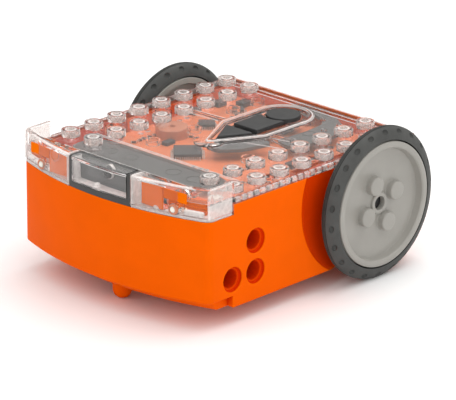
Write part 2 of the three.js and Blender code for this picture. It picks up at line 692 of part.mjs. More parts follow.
function tyre(side) {
  const profile = [
    [32.7, RIM_R + 0.15], [32.8, RIM_R + 0.6], [33.9, TYRE_R - 0.25], [34.4, TYRE_R], [35.4, TYRE_R],
    [36, TYRE_R - 0.25], [37.2, RIM_R + 0.6], [37.3, RIM_R + 0.15], [35.9, RIM_R + 0.15],
    [35.5, RIM_R - 0.4], [34.5, RIM_R - 0.4], [34.1, RIM_R + 0.15], [32.7, RIM_R + 0.15],
  ];
  return turnedX(side, profile, AXLE_Y, AXLE_Z, 32);
}

// The axle ends inside the wheel's hub, behind the small open hole in the wheel's middle.
function wheelAxle(side) {
  return rodX(side, [25.3, AXLE_OUT], AXLE_Y, AXLE_Z, AXLE_R, 20);
}

// ---- Assembly -----------------------------------------------------------------------------

place('bottom_housing', housing(), plastic(ORANGE, 0.38));
place('top_cover', topCover(), plastic(CLEAR, 0.08));
place('sensor_shield', sensorShield(), plastic(SHADOW_GREY, 0.5));
place('rear_plate', rearPlate(), plastic(SHADOW_GREY, 0.5));

place('main_board', circuitBoard(), plastic(BOARD_ORANGE, 0.5));
place('microcontroller', chip(7, 1.4, -4.8, -4.9), plastic(CHIP_BLACK, 0.6));
place('motor_driver', chip(4.2, 1.3, -16, 13.5), plastic(CHIP_BLACK, 0.6));
place('memory_chip', chip(3, 1.1, -18.5, 27.5), plastic(CHIP_BLACK, 0.6));
place('ir_receiver', infraredReceiver(), plastic(CHIP_BLACK, 0.2));
place('buzzer', buzzer(), plastic(CHIP_BLACK, 0.5));
for (const [name, y] of Object.entries(BUTTON_CENTRES)) {
  place(`${name}_switch`, tactSwitch(y), plastic(CHIP_BLACK, 0.5));
}

const roundCap = circle(0, ROUND_BUTTON_Y, ROUND_BUTTON_R);
const squareLip = polygon([[-4.8, 9.95], [4.8, 9.95], [4.8, 18.6], [-4.8, 18.6]]);
const roundLip = polygon([
  [-4, 21.6], [4, 21.6], [5.3, ROUND_BUTTON_Y], [3.6, 29], [-3.6, 29], [-5.3, ROUND_BUTTON_Y],
]);
const triangleKey = button(triangleOutline(0), triangleOutline(0.7), BUTTON_CENTRES.triangle);
place('triangle_button', triangleKey, plastic(CHARCOAL, 0.6));
place('square_button', button(squareOutline(0), squareLip, BUTTON_CENTRES.square), plastic(CHARCOAL, 0.6));
place('round_button', button(roundCap, roundLip, BUTTON_CENTRES.round), plastic(CHARCOAL, 0.6));

place('power_switch', switchBody(), plastic(CHIP_BLACK, 0.5));
place('power_switch_knob', switchKnob(), plastic(CHARCOAL, 0.5));
place('line_sensor_board', lineBoard(), plastic(BOARD_ORANGE, 0.5));
place('line_sensor_lamp', linePart(-1), plastic(0xd23a2a, 0.15));
place('line_sensor_receiver', linePart(1), plastic(0xcfc9bd, 0.15));
place('skid', skid(), plastic(ORANGE, 0.35));
place('battery_door', batteryDoor(), plastic(ORANGE, 0.4));
SCREWS.forEach(([x, y], i) => place(`case_screw_${i + 1}`, screw(x, y), metal(0x8d8f92)));

CELLS.forEach((offset, i) => place(`battery_${i + 1}`, cell(i, i % 2 ? 1 : -1), metal(0x3c6ea8, 0.3)));
const frontContacts = contacts(BOX_FRONT + 0.1, BOX_FRONT + 0.6, BOX_FRONT + 1.2);
const rearContacts = contacts(BOX_REAR - 0.6, BOX_REAR - 0.1, BOX_REAR - 1.2);
place('battery_contacts_front', frontContacts, metal(0xb9b9b4));
place('battery_contacts_rear', rearContacts, metal(0xb9b9b4));

for (const side of [1, -1]) {
  const name = sideName(side);
  place(`${name}_ir_lamp`, infraredLamp(side), plastic(0xc9b48a, 0.15));
  place(`${name}_light_sensor`, lightSensor(side), plastic(0xd8d4c8, 0.2));
  place(`${name}_indicator_lamp`, indicatorLamp(side), plastic(0xe6e2d6, 0.2));
  place(`${name}_motor`, motor(side), metal(0xb4b6b8, 0.3));
  place(`${name}_motor_shaft`, motorShaft(side), metal(0xc9cacc, 0.2));
  place(`${name}_motor_pinion`, motorPinion(side), plastic(0xece9e0, 0.4));
  place(`${name}_gear_pin`, gearPin(side), metal(0xc9cacc, 0.2));
  place(`${name}_compound_gear`, compoundGear(side), plastic(0xece9e0, 0.4));
  place(`${name}_output_gear`, outputGear(side), plastic(0xece9e0, 0.4));
  place(`${name}_axle`, wheelAxle(side), plastic(CHIP_BLACK, 0.4));
  place(`${name}_rim`, wheelRim(side), plastic(WARM_GREY, 0.42));
  place(`${name}_tyre`, tyre(side), plastic(TYRE_GREY, 0.8));
}

export default robot;
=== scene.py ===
"""Look of the two-wheel coding robot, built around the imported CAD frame. Lengths are in millimetres."""

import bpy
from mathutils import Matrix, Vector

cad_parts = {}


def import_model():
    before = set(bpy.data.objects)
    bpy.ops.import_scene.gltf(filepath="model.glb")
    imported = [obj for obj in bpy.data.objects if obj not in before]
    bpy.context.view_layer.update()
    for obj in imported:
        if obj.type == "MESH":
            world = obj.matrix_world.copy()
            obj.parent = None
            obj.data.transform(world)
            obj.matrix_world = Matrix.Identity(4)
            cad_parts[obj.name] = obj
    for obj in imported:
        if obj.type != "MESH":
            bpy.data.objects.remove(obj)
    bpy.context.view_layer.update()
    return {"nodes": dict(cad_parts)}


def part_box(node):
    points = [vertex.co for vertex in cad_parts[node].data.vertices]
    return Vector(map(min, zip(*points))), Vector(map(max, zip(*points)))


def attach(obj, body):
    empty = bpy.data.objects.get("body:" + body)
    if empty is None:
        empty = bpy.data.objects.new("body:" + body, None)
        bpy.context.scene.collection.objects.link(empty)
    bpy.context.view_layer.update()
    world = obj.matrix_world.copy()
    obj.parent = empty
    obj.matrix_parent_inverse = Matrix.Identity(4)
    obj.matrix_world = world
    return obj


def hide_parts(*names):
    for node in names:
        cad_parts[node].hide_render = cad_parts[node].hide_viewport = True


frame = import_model()
import fnmatch
import random
from math import acos, atan2, cos, hypot, pi, radians, sin, sqrt

import bmesh
import bpy
from mathutils import Matrix, Vector

MM = 0.001
NODES = frame["nodes"]


def cad_box(node):
    """Lowest and highest corner of a CAD node, in millimetres."""
    low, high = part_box(node)
    return [v / MM for v in low], [v / MM for v in high]


# ---- Driving dimensions, taken from the frame where it has them ----

SHELL_LOW, SHELL_HIGH = cad_box("bottom_housing")
TYRE_LOW, TYRE_HIGH = cad_box("right_tyre")
RIM_LOW, RIM_HIGH = cad_box("right_rim")
BOARD_LOW, BOARD_HIGH = cad_box("main_board")
BUTTON_TOP = cad_box("round_button")[1][2]

SIDE_X = SHELL_HIGH[0]
FRONT_Y = SHELL_LOW[1]
REAR_Y = SHELL_HIGH[1]
BODY_BOTTOM = SHELL_LOW[2]
DECK_BOTTOM = SHELL_HIGH[2]
DECK_TOP = DECK_BOTTOM + 1.6
RIM_TOP = cad_box("top_cover")[1][2]
FRONT_TOP = 28.4
FRONT_BOTTOM = 7.4
FOOT_INSET = 1.95
FOOT_BACK = 2.95
FOOT_SLOPE = 2.4
FRONT_RADIUS = 88
CORNER_R = 2.3
FLAP_END_Y = -26.75
BLOCK_BACK_Y = -36.3
FLOOR_TOP = 6.6
WALL = 1.8

PITCH = 8
STUD_R = 2.4
STUD_H = 1.8
STUD_COLUMNS = (-28, -20, 20, 28)
STUD_ROWS = 8
STUD_GRID_Y = 5.25

AXLE_Y = (TYRE_LOW[1] + TYRE_HIGH[1]) / 2
AXLE_Z = (TYRE_LOW[2] + TYRE_HIGH[2]) / 2
TYRE_R = (TYRE_HIGH[2] - TYRE_LOW[2]) / 2
RIM_R = (RIM_HIGH[2] - RIM_LOW[2]) / 2
RIM_IN = RIM_LOW[0]
RIM_OUT = RIM_HIGH[0]
ARCH_Y = 18.05
ARCH_Z = 22.6
ARCH_R = 20.5
ARCH_DEPTH = 2.5
PIN_HOLES = ((-26.95, 11.8), (-18.95, 11.8), (-18.95, 19.7))
SHIELD_X = 10.4
POST_T = 0.9
PCB_TOP = BOARD_HIGH[2]
ON_BOARD = PCB_TOP + 0.02
SIDES = (("right", 1), ("left", -1))
BOTH = (1, -1)
ABOVE = 60


# ---- Camera, light and floor ----

def placed(name, data):
    """A new object in the scene."""
    made = bpy.data.objects.new(name, data)
    bpy.context.scene.collection.objects.link(made)
    return made


def camera():
    data = bpy.data.cameras.new("camera")
    data.lens = 300
    data.sensor_width = 36
    data.clip_end = 20
    view = placed("camera", data)
    azimuth, elevation, roll = radians(43.68), radians(20.46), radians(0.27)
    turn = (Matrix.Rotation(azimuth, 4, "Z") @ Matrix.Rotation(pi / 2 - elevation, 4, "X")
            @ Matrix.Rotation(roll, 4, "Z"))
    aim = Vector((4.01, 0.43, 17.64)) * MM
    view.matrix_world = Matrix.Translation(aim) @ turn @ Matrix.Translation((0, 0, 944.9 * MM))
    bpy.context.scene.camera = view


def area_light(name, spot, size, power):
    data = bpy.data.lights.new(name, "AREA")
    data.shape = "RECTANGLE"
    data.size, data.size_y = size
    data.energy = power
    lamp = placed(name, data)
    lamp.location = spot
    lamp.rotation_euler = (Vector((0, 0, 0.015)) - Vector(spot)).to_track_quat("-Z", "Y").to_euler()


def sky():
    """Soft white light that falls off towards the horizon on the far side."""
    world = bpy.data.worlds.new("studio")
    bpy.context.scene.world = world
    world.use_nodes = True
    tree = world.node_tree
    background = tree.nodes["Background"]
    lean = tree.nodes.new("ShaderNodeVectorMath")
    lean.operation = "DOT_PRODUCT"
    lean.inputs[1].default_value = (0.22, -0.3, 0.93)
    ramp = tree.nodes.new("ShaderNodeValToRGB")
    tree.links.new(tree.nodes.new("ShaderNodeTexCoord").outputs["Generated"], lean.inputs[0])
    tree.links.new(lean.outputs["Value"], ramp.inputs["Fac"])
    tree.links.new(ramp.outputs["Color"], background.inputs["Color"])
    stops = ramp.color_ramp.elements
    for at, level in ((0.0, 0.35), (0.25, 0.4), (0.6, 0.68), (1.0, 1.0)):
        stop = stops.new(at) if 0 < at < 1 else stops[int(at)]
        warm = 1 - level
        stop.color = (level, level * (1 - 0.06 * warm), level * (1 - 0.16 * warm), 1)
    background.inputs["Strength"].default_value = 1.25


def floor():
    mesh = bpy.data.meshes.new("floor")
    reach = 6
    corners = [(-reach, -reach, 0), (reach, -reach, 0), (reach, reach, 0), (-reach, reach, 0)]
    mesh.from_pydata(corners, [], [(0, 1, 2, 3)])
    made = placed("floor", mesh)
    look = Look("floor_paper")
    look.base((0.93, 0.93, 0.93), 90, 0.015)
    look.rough(0.5, 0.02, 60)
    look.set("Specular IOR Level", 0.3)
    mesh.materials.append(look.material)


def studio():
    sky()
    area_light("overhead", (0.1, 0.3, 0.85), (0.8, 0.8), 4.0)
    area_light("front_right", (0.8, -0.3, 0.3), (0.3, 0.5), 0.55)
    area_light("front_left", (-0.3, -0.9, 0.3), (0.3, 0.4), 0.1)
    bpy.context.scene.view_settings.view_transform = "Standard"
    floor()


# ---- Materials ----

class Look:
    """A procedural material: a colour that varies a little, a roughness that varies, and a bump."""

    def __init__(self, name):
        self.material = bpy.data.materials.new(name)
        self.material.use_nodes = True
        self.tree = self.material.node_tree
        self.shader = self.tree.nodes["Principled BSDF"]
        self.out = self.tree.nodes["Material Output"]
        self.space = self.node("ShaderNodeTexCoord").outputs["Object"]
        self.height = None

    def node(self, kind, **settings):
        made = self.tree.nodes.new(kind)
        for key, value in settings.items():
            setattr(made, key, value)
        return made

    def link(self, a, b):
        self.tree.links.new(a, b)

    def set(self, socket, value):
        self.shader.inputs[socket].default_value = value

    def noise(self, size, detail=3, stretch=None, distort=0.0):
        """Noise with features of about size millimetres, 0 to 1."""
        made = self.node("ShaderNodeTexNoise")
        made.inputs["Scale"].default_value = 1 / (size * MM)
        made.inputs["Detail"].default_value = detail
        made.inputs["Distortion"].default_value = distort
        if stretch:
            scale = self.node("ShaderNodeMapping")
            scale.inputs["Scale"].default_value = stretch
            self.link(self.space, scale.inputs["Vector"])
            self.link(scale.outputs["Vector"], made.inputs["Vector"])
        else:
            self.link(self.space, made.inputs["Vector"])
        return made.outputs["Fac"]

    def ramp(self, value, low, high, at=(0.35, 0.65)):
        made = self.node("ShaderNodeValToRGB")
        made.color_ramp.elements[0].position = at[0]
        made.color_ramp.elements[1].position = at[1]
        made.color_ramp.elements[0].color = (*low, 1)
        made.color_ramp.elements[1].color = (*high, 1)
        self.link(value, made.inputs["Fac"])
        return made.outputs["Color"]

    def occlusion(self, reach, inside, low, high, at):
        """Colour from how closed in a point is within reach millimetres, or how thin when inside is set."""
        made = self.node("ShaderNodeAmbientOcclusion", inside=inside, only_local=True, samples=8)
        made.inputs["Distance"].default_value = reach * MM
        return self.ramp(made.outputs["AO"], low, high, at)

    def blend(self, kind, factor, a, b):
        """Two colours mixed in one of the blend modes."""
        made = self.node("ShaderNodeMix", data_type="RGBA", blend_type=kind)
        made.inputs["Factor"].default_value = factor
        self.link(a, made.inputs["A"])
        self.link(b, made.inputs["B"])
        return made.outputs["Result"]

    def see_through(self, colour):
        made = self.node("ShaderNodeBsdfTransparent")
        made.inputs["Color"].default_value = (*colour, 1)
        return made.outputs["BSDF"]

    def surface(self, share, first, second):
        """Makes the surface a mix of two shaders."""
        mix = self.node("ShaderNodeMixShader")
        for source, socket in zip((share, first, second), mix.inputs):
            self.link(source, socket)
        self.link(mix.outputs["Shader"], self.out.inputs["Surface"])

    def spread(self, value, low, high):
        made = self.node("ShaderNodeMapRange")
        made.inputs["From Min"].default_value = 0.3
        made.inputs["From Max"].default_value = 0.7
        made.inputs["To Min"].default_value = low
        made.inputs["To Max"].default_value = high
        self.link(value, made.inputs["Value"])
        return made.outputs["Result"]

    def base(self, colour, size, change=0.06):
        """Base colour with soft, slightly darker patches of about size millimetres."""
        dark = tuple(c * (1 - change) for c in colour)
        light = tuple(min(1, c * (1 + change / 2)) for c in colour)
        self.link(self.ramp(self.noise(size), dark, light), self.shader.inputs["Base Color"])

    def rough(self, middle, change, size):
        self.link(self.spread(self.noise(size, 4), middle - change, middle + change),
                  self.shader.inputs["Roughness"])

    def bump(self, value, depth, strength=1.0):
        """Adds a bump whose full height is depth millimetres."""
        made = self.node("ShaderNodeBump")
        made.inputs["Strength"].default_value = strength
        made.inputs["Distance"].default_value = depth * MM
        self.link(value, made.inputs["Height"])
        if self.height:
            self.link(self.height, made.inputs["Normal"])
        self.height = made.outputs["Normal"]
        self.link(self.height, self.shader.inputs["Normal"])


def moulded(name, colour, roughness, grain=0.25, depth=0.004, change=0.05):
    """Moulded plastic: fine grain in the surface, faint flow patches and uneven gloss."""
    look = Look(name)
    look.base(colour, 9, change)
    look.rough(roughness, 0.06, 3)
    look.bump(look.noise(grain, 2), depth, 0.6)
    look.bump(look.noise(14, 1), 0.03, 0.35)
    return look


def orange_plastic(name, colour):
    """Orange plastic with painted light: hollows get a painted red shade and thin edges a painted lighter,
    yellower glow.
    """
    look = moulded(name, colour, 0.34, grain=0.8, depth=0.002, change=0.03)
    look.set("Specular IOR Level", 0.012)
    base = look.shader.inputs["Base Color"]
    # Painted shade: within 4 mm of other surfaces the colour is multiplied towards a darker red.
    hollow = look.occlusion(4.0, False, (0.62, 0.008, 0.0), (1.0, 1.0, 1.0), (0.3, 0.8))
    # Painted glow: where the plastic is thin, at its edges, a lighter yellow is added.
    edge = look.occlusion(0.7, True, (0.02, 0.05, 0.0), (0.0, 0.0, 0.0), (0.5, 0.85))
    deep = look.blend("MULTIPLY", 0.9, base.links[0].from_socket, hollow)
    look.link(look.blend("ADD", 1.0, deep, edge), base)
    return look.material


def clear_plastic(name, tint, roughness):
    """Polished clear plastic. Light for shadows passes straight through it."""
    look = Look(name)
    look.set("Base Color", (*tint, 1))
    look.set("Transmission Weight", 1.0)
    look.set("IOR", 1.46)
    look.rough(roughness, 0.012, 2.5)
    look.bump(look.noise(7, 2, distort=0.4), 0.02, 0.25)
    path = look.node("ShaderNodeLightPath")
    through = look.see_through((0.95, 0.93, 0.92))
    look.surface(path.outputs["Is Shadow Ray"], look.shader.outputs["BSDF"], through)
    return look.material


def painted_highlight_plastic(name, strength):
    """Clear plastic painted milky white for highlights and reflections: most of the light goes straight
    through.
    """
    look = moulded(name, (0.93, 0.90, 0.89), 0.3, grain=0.2, depth=0.004)
    share = look.spread(look.noise(0.9), strength - 0.08, strength + 0.08)
    look.surface(share, look.see_through((0.97, 0.95, 0.94)), look.shader.outputs["BSDF"])
    return look.material


def tyre_rubber():
    look = Look("tyre_rubber")
    look.base((0.055, 0.056, 0.053), 5, 0.14)
    look.rough(0.62, 0.08, 2)
    look.bump(look.noise(0.18, 3), 0.012, 0.7)
    look.bump(look.noise(2.4, 2), 0.03, 0.4)
    look.set("Specular IOR Level", 0.42)
    return look.material


def board_mask():
    """Orange solder mask over copper tracks, with small pads."""
    look = Look("board_mask")
    tracks = look.node("ShaderNodeTexBrick")
    for socket, value in (("Scale", 1 / (2.2 * MM)), ("Mortar Size", 0.035),
                          ("Color1", (0.86, 0.20, 0.06, 1)), ("Color2", (0.82, 0.18, 0.055, 1)),
                          ("Mortar", (0.92, 0.33, 0.16, 1))):
        tracks.inputs[socket].default_value = value
    tilt = look.node("ShaderNodeMapping")
    tilt.inputs["Rotation"].default_value = (0, 0, 0.6)
    look.link(look.space, tilt.inputs["Vector"])
    look.link(tilt.outputs["Vector"], tracks.inputs["Vector"])
    patches = look.ramp(look.noise(6, 2), (0.72, 0.72, 0.72), (1, 1, 1), (0.42, 0.5))
    colour = look.blend("MULTIPLY", 0.35, tracks.outputs["Color"], patches)
    look.link(colour, look.shader.inputs["Base Color"])
    look.bump(tracks.outputs["Fac"], 0.03, 0.5)
    look.rough(0.42, 0.08, 3)
    return look.material


def metal(name, colour, roughness, stretch=(1, 1, 1)):
    look = Look(name)
    look.base(colour, 2.5, 0.08)
    look.set("Metallic", 1.0)
    look.rough(roughness, 0.08, 0.8)
    look.bump(look.noise(0.12, 2, stretch), 0.004, 0.5)
    return look.material


MATERIALS = {}

# Colour and roughness and, where they aren't the usual ones, the grain's size and depth.
PLASTICS = {
    "frame_grey": ((0.03, 0.029, 0.028), 0.42),
    "button_grey": ((0.024, 0.0245, 0.025), 0.46, 0.18, 0.01),
    "chip_black": ((0.05, 0.052, 0.058), 0.5, 0.12, 0.008),
    "rim_grey": ((0.30, 0.288, 0.262), 0.36, 0.4, 0.003),
    "buzzer_brass": ((0.55, 0.2, 0.11), 0.4, 0.3),
    "cell_wrap": ((0.03, 0.075, 0.16), 0.25),
    "gear_nylon": ((0.78, 0.76, 0.70), 0.42),
    "axle_black": ((0.03, 0.03, 0.032), 0.4),
    "pale_lens": ((0.80, 0.78, 0.70), 0.18),
    "lens_black": ((0.012, 0.011, 0.012), 0.08),
}
METALS = {
    "plated_steel": ((0.62, 0.62, 0.63), 0.28),
    "nickel_contact": ((0.72, 0.70, 0.66), 0.3),
    "tinned_leg": ((0.82, 0.81, 0.79), 0.3),
    "motor_can": ((0.6, 0.61, 0.62), 0.25, (1, 8, 8)),
}
# The second orange is a darker, redder copy: painted shade for the wheel hollows and pin holes.
ORANGES = {"orange_plastic": (0.81, 0.104, 0.0003), "orange_plastic_painted_shade": (0.74, 0.045, 0.0003)}
CLEARS = {
    "clear_plastic": ((0.985, 0.965, 0.955), 0.04),
    "amber_lens": ((0.72, 0.52, 0.30), 0.06),
    "red_lens": ((0.75, 0.05, 0.04), 0.05),
}
# Milky whites that paint highlights and reflections of the clear cover, each with the share that is white.
PAINTED_HIGHLIGHTS = {"painted_highlight_plastic": 0.55, "painted_reflection_plastic": 0.22, "painted_glint_plastic": 0.8}


def materials():
    for name, colour in ORANGES.items():
        MATERIALS[name] = orange_plastic(name, colour)
    for name, settings in CLEARS.items():
        MATERIALS[name] = clear_plastic(name, *settings)
    for name, strength in PAINTED_HIGHLIGHTS.items():
        MATERIALS[name] = painted_highlight_plastic(name, strength)
    for name, settings in PLASTICS.items():
        MATERIALS[name] = moulded(name, *settings).material
    for name, settings in METALS.items():
        MATERIALS[name] = metal(name, *settings)
    MATERIALS["grey_insert"] = moulded("grey_insert", (0.105, 0.11, 0.114), 0.5, change=0.1).material
    MATERIALS["board_mask"] = board_mask()
    MATERIALS["tyre_rubber"] = tyre_rubber()


# The looks of the CAD pieces that are shown as they are.
NODE_LOOKS = {
    "*_light_sensor": "clear_plastic",
    "line_sensor_board": "board_mask",
    "line_sensor_lamp": "red_lens",
    "line_sensor_receiver": "pale_lens",
    "*_indicator_lamp": "pale_lens",
    "*_switch": "chip_black",
    "battery_[1-4]": "cell_wrap",
    "battery_contacts_*": "nickel_contact",
    "*_motor": "motor_can",
    "*_motor_shaft": "plated_steel",
    "*_gear_pin": "plated_steel",
    "*_pinion": "gear_nylon",
    "*_gear": "gear_nylon",
    "*_axle": "axle_black",
}


def dress_nodes():
    for pattern, look in NODE_LOOKS.items():
        for name in fnmatch.filter(NODES, pattern):
            slots = NODES[name].data.materials
            slots.clear()
            slots.append(MATERIALS[look])


# ---- Shapes, in millimetres ----

def arc(x, y, radius, start, end, steps):
    """Points on a circle from angle start to angle end."""
    turns = [start + (end - start) * i / steps for i in range(steps + 1)]
    return [(x + radius * cos(t), y + radius * sin(t)) for t in turns]


def circle(x, y, radius, steps=32):
    return arc(x, y, radius, 0, 2 * pi * (1 - 1 / steps), steps - 1)


def rounded_rectangle(x0, y0, x1, y1, radius, steps=5):
    quarter = pi / 2
    corners = [(x1 - radius, y1 - radius, 0), (x0 + radius, y1 - radius, 1),
               (x0 + radius, y0 + radius, 2), (x1 - radius, y0 + radius, 3)]
    return [p for x, y, i in corners for p in arc(x, y, radius, i * quarter, (i + 1) * quarter, steps)]


def round_corners(corners, radius, steps=4):
    """Outline with each corner cut back by radius and curved (a quadratic curve through the corner)."""
    points = []
    for i, corner in enumerate(corners):
        here = Vector(corner)
        before = (Vector(corners[i - 1]) - here).normalized() * radius
        after = (Vector(corners[(i + 1) % len(corners)]) - here).normalized() * radius
        for t in (step / steps for step in range(steps + 1)):
            p = here + before * (1 - t) ** 2 + after * t ** 2
            points.append((p.x, p.y))
    return points


def front_outline(inset, back_y, set_back=0.0):
    """Plan of the curved front, inset from the outer surface; set_back moves the curve back."""
    x = SIDE_X - inset
    radius = FRONT_RADIUS - inset
    fillet = max(CORNER_R - inset, 0.35)
    centre_y = FRONT_Y + FRONT_RADIUS + set_back
    fillet_x = x - fillet
    fillet_y = centre_y - sqrt((radius - fillet) ** 2 - fillet_x ** 2)
    lean = atan2(fillet_y - centre_y, fillet_x)
    points = [(x, back_y), (-x, back_y)]
    points += arc(-fillet_x, fillet_y, fillet, pi, pi - lean, 8)
    points += arc(0, centre_y, radius, pi - lean, 2 * pi + lean, 60)[1:-1]
    points += arc(fillet_x, fillet_y, fillet, 2 * pi + lean, 2 * pi, 8)
    return points


def front_curve_y(x, inset):
    """y of the curved front at x, inset from the outer surface."""
    return FRONT_Y + FRONT_RADIUS - sqrt((FRONT_RADIUS - inset) ** 2 - x ** 2)


def loft(levels):
    """Closed solid through stacked outlines; levels holds (z, points) from the bottom up."""
    bm = bmesh.new()
    rings = [[bm.verts.new((x, y, z)) for x, y in points] for z, points in levels]
    bm.faces.new(reversed(rings[0]))
    bm.faces.new(rings[-1])
    for low, high in zip(rings, rings[1:]):
        for i, start in enumerate(low):
            j = (i + 1) % len(low)
            bm.faces.new((start, low[j], high[j], high[i]))
    return bm


def prism(points, z0, z1):
    return loft([(z0, points), (z1, points)])


def soft_prism(outline, z0, z1, top=0.3, bottom=0.0, steps=3):
    """Prism whose top and bottom edges are rounded; outline(inset) gives its plan."""
    turns = [pi / 2 * i / steps for i in range(steps + 1)]
    low = [(z0 + bottom * (1 - cos(t)), outline(bottom * (1 - sin(t)))) for t in turns]
    high = [(z1 - top * (1 - sin(t)), outline(top * (1 - cos(t)))) for t in turns]
    return loft((low if bottom else [(z0, outline(0))]) + (high if top else [(z1, outline(0))]))


def front_slab(inset, back_y, z0, z1, top=0.0, bottom=0.0):
    """Slab in the plan of the curved front, inset from the outer surface, with rounded edges."""
    return soft_prism(lambda i: front_outline(inset + i, back_y), z0, z1, top, bottom)


def front_skin(outer, inner, back_y, z0, z1):
    """Wall along the curved front between two insets."""
    return cut(front_slab(outer, back_y, z0, z1), front_slab(inner, 0, 0, ABOVE))


def box(x0, y0, z0, x1, y1, z1):
    return prism([(x0, y0), (x1, y0), (x1, y1), (x0, y1)], z0, z1)


def soft_box(x0, y0, z0, x1, y1, z1, radius=0.3, top=0.2, bottom=0.0):
    def outline(inset):
        corner = max(radius - inset, 0.02)
        return rounded_rectangle(x0 + inset, y0 + inset, x1 - inset, y1 - inset, corner)
    return soft_prism(outline, z0, z1, top, bottom)


def span(side, near, far):
    """Two distances from the middle as limits of x on the side (+1 or -1)."""
    return sorted((side * near, side * far))


def side_box(side, near, far, y0, y1, z0, z1):
    x0, x1 = span(side, near, far)
    return box(x0, y0, z0, x1, y1, z1)


def lathe(profile, steps=64):
    """Body turned about Z through (radius, z) pairs, which close on themselves if they start off the axis."""
    bm = bmesh.new()
    rings = [[bm.verts.new((0, 0, z))] if radius == 0 else
             [bm.verts.new((x, y, z)) for x, y in circle(0, 0, radius, steps)] for radius, z in profile]
    pairs = list(zip(rings, rings[1:])) + ([(rings[-1], rings[0])] if profile[0][0] > 0 else [])
    for low, high in pairs:
        if len(low) == len(high) == 1:
            continue
        for i in range(steps):
            j = (i + 1) % steps
            corners = [low[i], low[j]] if len(low) > 1 else [low[0]]
            corners += [high[j], high[i]] if len(high) > 1 else [high[0]]
            bm.faces.new(corners)
    return bm


def rod(radius, z0, z1, edge=0.15, steps=32):
    """Upright rod whose rims are rounded by edge."""
    soft = edge * 0.3
    return lathe([(0, z0), (radius - edge, z0), (radius, z0 + edge), (radius, z1 - edge),
                  (radius - soft, z1 - soft), (radius - edge, z1), (0, z1)], steps)


def ring(x, y, outer, inner, z0, z1):
    profile = [(inner, z0), (outer, z0), (outer, z1 - 0.12), (outer - 0.12, z1), (inner + 0.1, z1),
               (inner, z1 - 0.1)]
    return moved(lathe(profile, 28), x, y)


def bar(x0, y0, x1, y1, width, z0, z1):
    """Straight raised line between two points."""
    edge = min(0.12, width / 3)
    made = soft_box(0, -width / 2, z0, hypot(x1 - x0, y1 - y0), width / 2, z1, edge, edge)
    return moved(turned(made, atan2(y1 - y0, x1 - x0)), x0, y0)


def moved(bm, x=0, y=0, z=0):
    bmesh.ops.translate(bm, verts=bm.verts, vec=(x, y, z))
    return bm


def turned(bm, angle, axis="Z"):
    bmesh.ops.rotate(bm, verts=bm.verts, cent=(0, 0, 0), matrix=Matrix.Rotation(angle, 3, axis))
    return bm


def outward(bm, side, y=0, z=0):
    """Lays a body that was turned about Z along the axle direction, its top facing out on that side."""
    return moved(turned(bm, side * pi / 2, "Y"), 0, y, z)


def forward(bm, x=0, z=0):
    """Lays a body that was turned about Z along Y, its top facing the front."""
    return moved(turned(bm, pi / 2, "X"), x, 0, z)


def together(*parts):
    """One mesh that holds several separate bodies."""
    whole = bmesh.new()
    for part in parts:
        mesh = bpy.data.meshes.new("part")
        part.to_mesh(mesh)
        part.free()
        whole.from_mesh(mesh)
        bpy.data.meshes.remove(mesh)
    return whole


def copies(spots, shape, *settings):
    """The shape at each (x, y) spot, in one mesh."""
    return together(*(moved(shape(*settings), x, y) for x, y in spots))


def as_object(name, bm):
    bmesh.ops.recalc_face_normals(bm, faces=bm.faces)
    mesh = bpy.data.meshes.new(name)
    bm.to_mesh(mesh)
    bm.free()
    return placed(name, mesh)


def combined(operation, bm, tools):
    """Applies a boolean operation with each tool in turn."""
    body = as_object("body", bm)
    for tool in tools:
        cutter = as_object("cutter", tool)
        change = body.modifiers.new("change", "BOOLEAN")
        change.operation = operation
        change.object = cutter
        change.solver = "MANIFOLD"
        graph = bpy.context.evaluated_depsgraph_get()
        mesh = bpy.data.meshes.new_from_object(body.evaluated_get(graph))
        body.modifiers.clear()
        body.data = mesh
        bpy.data.objects.remove(cutter)
    result = bmesh.new()
    result.from_mesh(body.data)
    bpy.data.objects.remove(body)
    return result


def cut(bm, *tools):
    return combined("DIFFERENCE", bm, tools)


def joined(bm, *tools):
    return combined("UNION", bm, tools)


def before(y, bm, x0=-SIDE_X, x1=SIDE_X):
    """The part of a body that lies in front of y and between x0 and x1."""
    return combined("INTERSECT", bm, [box(x0, -50, -5, x1, y, ABOVE)])


def piece(name, bm, look, body="housing", replaces=None, bevel=0.0, smooth=32):
    """Finishes a visual piece: metres, material, soft edges and smooth curved faces."""
    bmesh.ops.remove_doubles(bm, verts=bm.verts, dist=1e-4)
    bmesh.ops.scale(bm, verts=bm.verts, vec=(MM, MM, MM))
    made = as_object(name, bm)
    made.data.materials.append(MATERIALS[look])
    soften(made, bevel, smooth)
    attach(made, body)
    if replaces:
        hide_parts(replaces)
    return made


def soften(made, bevel, smooth):
    limit = radians(smooth)
    bm = bmesh.new()
    bm.from_mesh(made.data)
    for face in bm.faces:
        face.smooth = True
    for edge in bm.edges:
        edge.smooth = len(edge.link_faces) == 2 and edge.calc_face_angle(0) < limit
    bm.to_mesh(made.data)
    bm.free()
    if bevel:
        soft_edges(made, bevel, limit).harden_normals = True


def soft_edges(made, width, limit):
    edge = made.modifiers.new("edges", "BEVEL")
    edge.width = width * MM
    edge.segments = 2
    edge.limit_method = "ANGLE"
    edge.angle_limit = limit
    return edge


# ---- Orange housing ----

SCREWS = ((26.3, -9.5), (-26.3, -9.5), (25.55, 7.5), (-25.55, 7.5), (0, 33.4))
SKID_Y = -32.65
BOX_HALF = 22
BOX_FRONT = -25.9
BOX_REAR = 20.8
GEAR_PIN = (26.469, 12.978)
LINE_SENSOR = (6.5, -33)


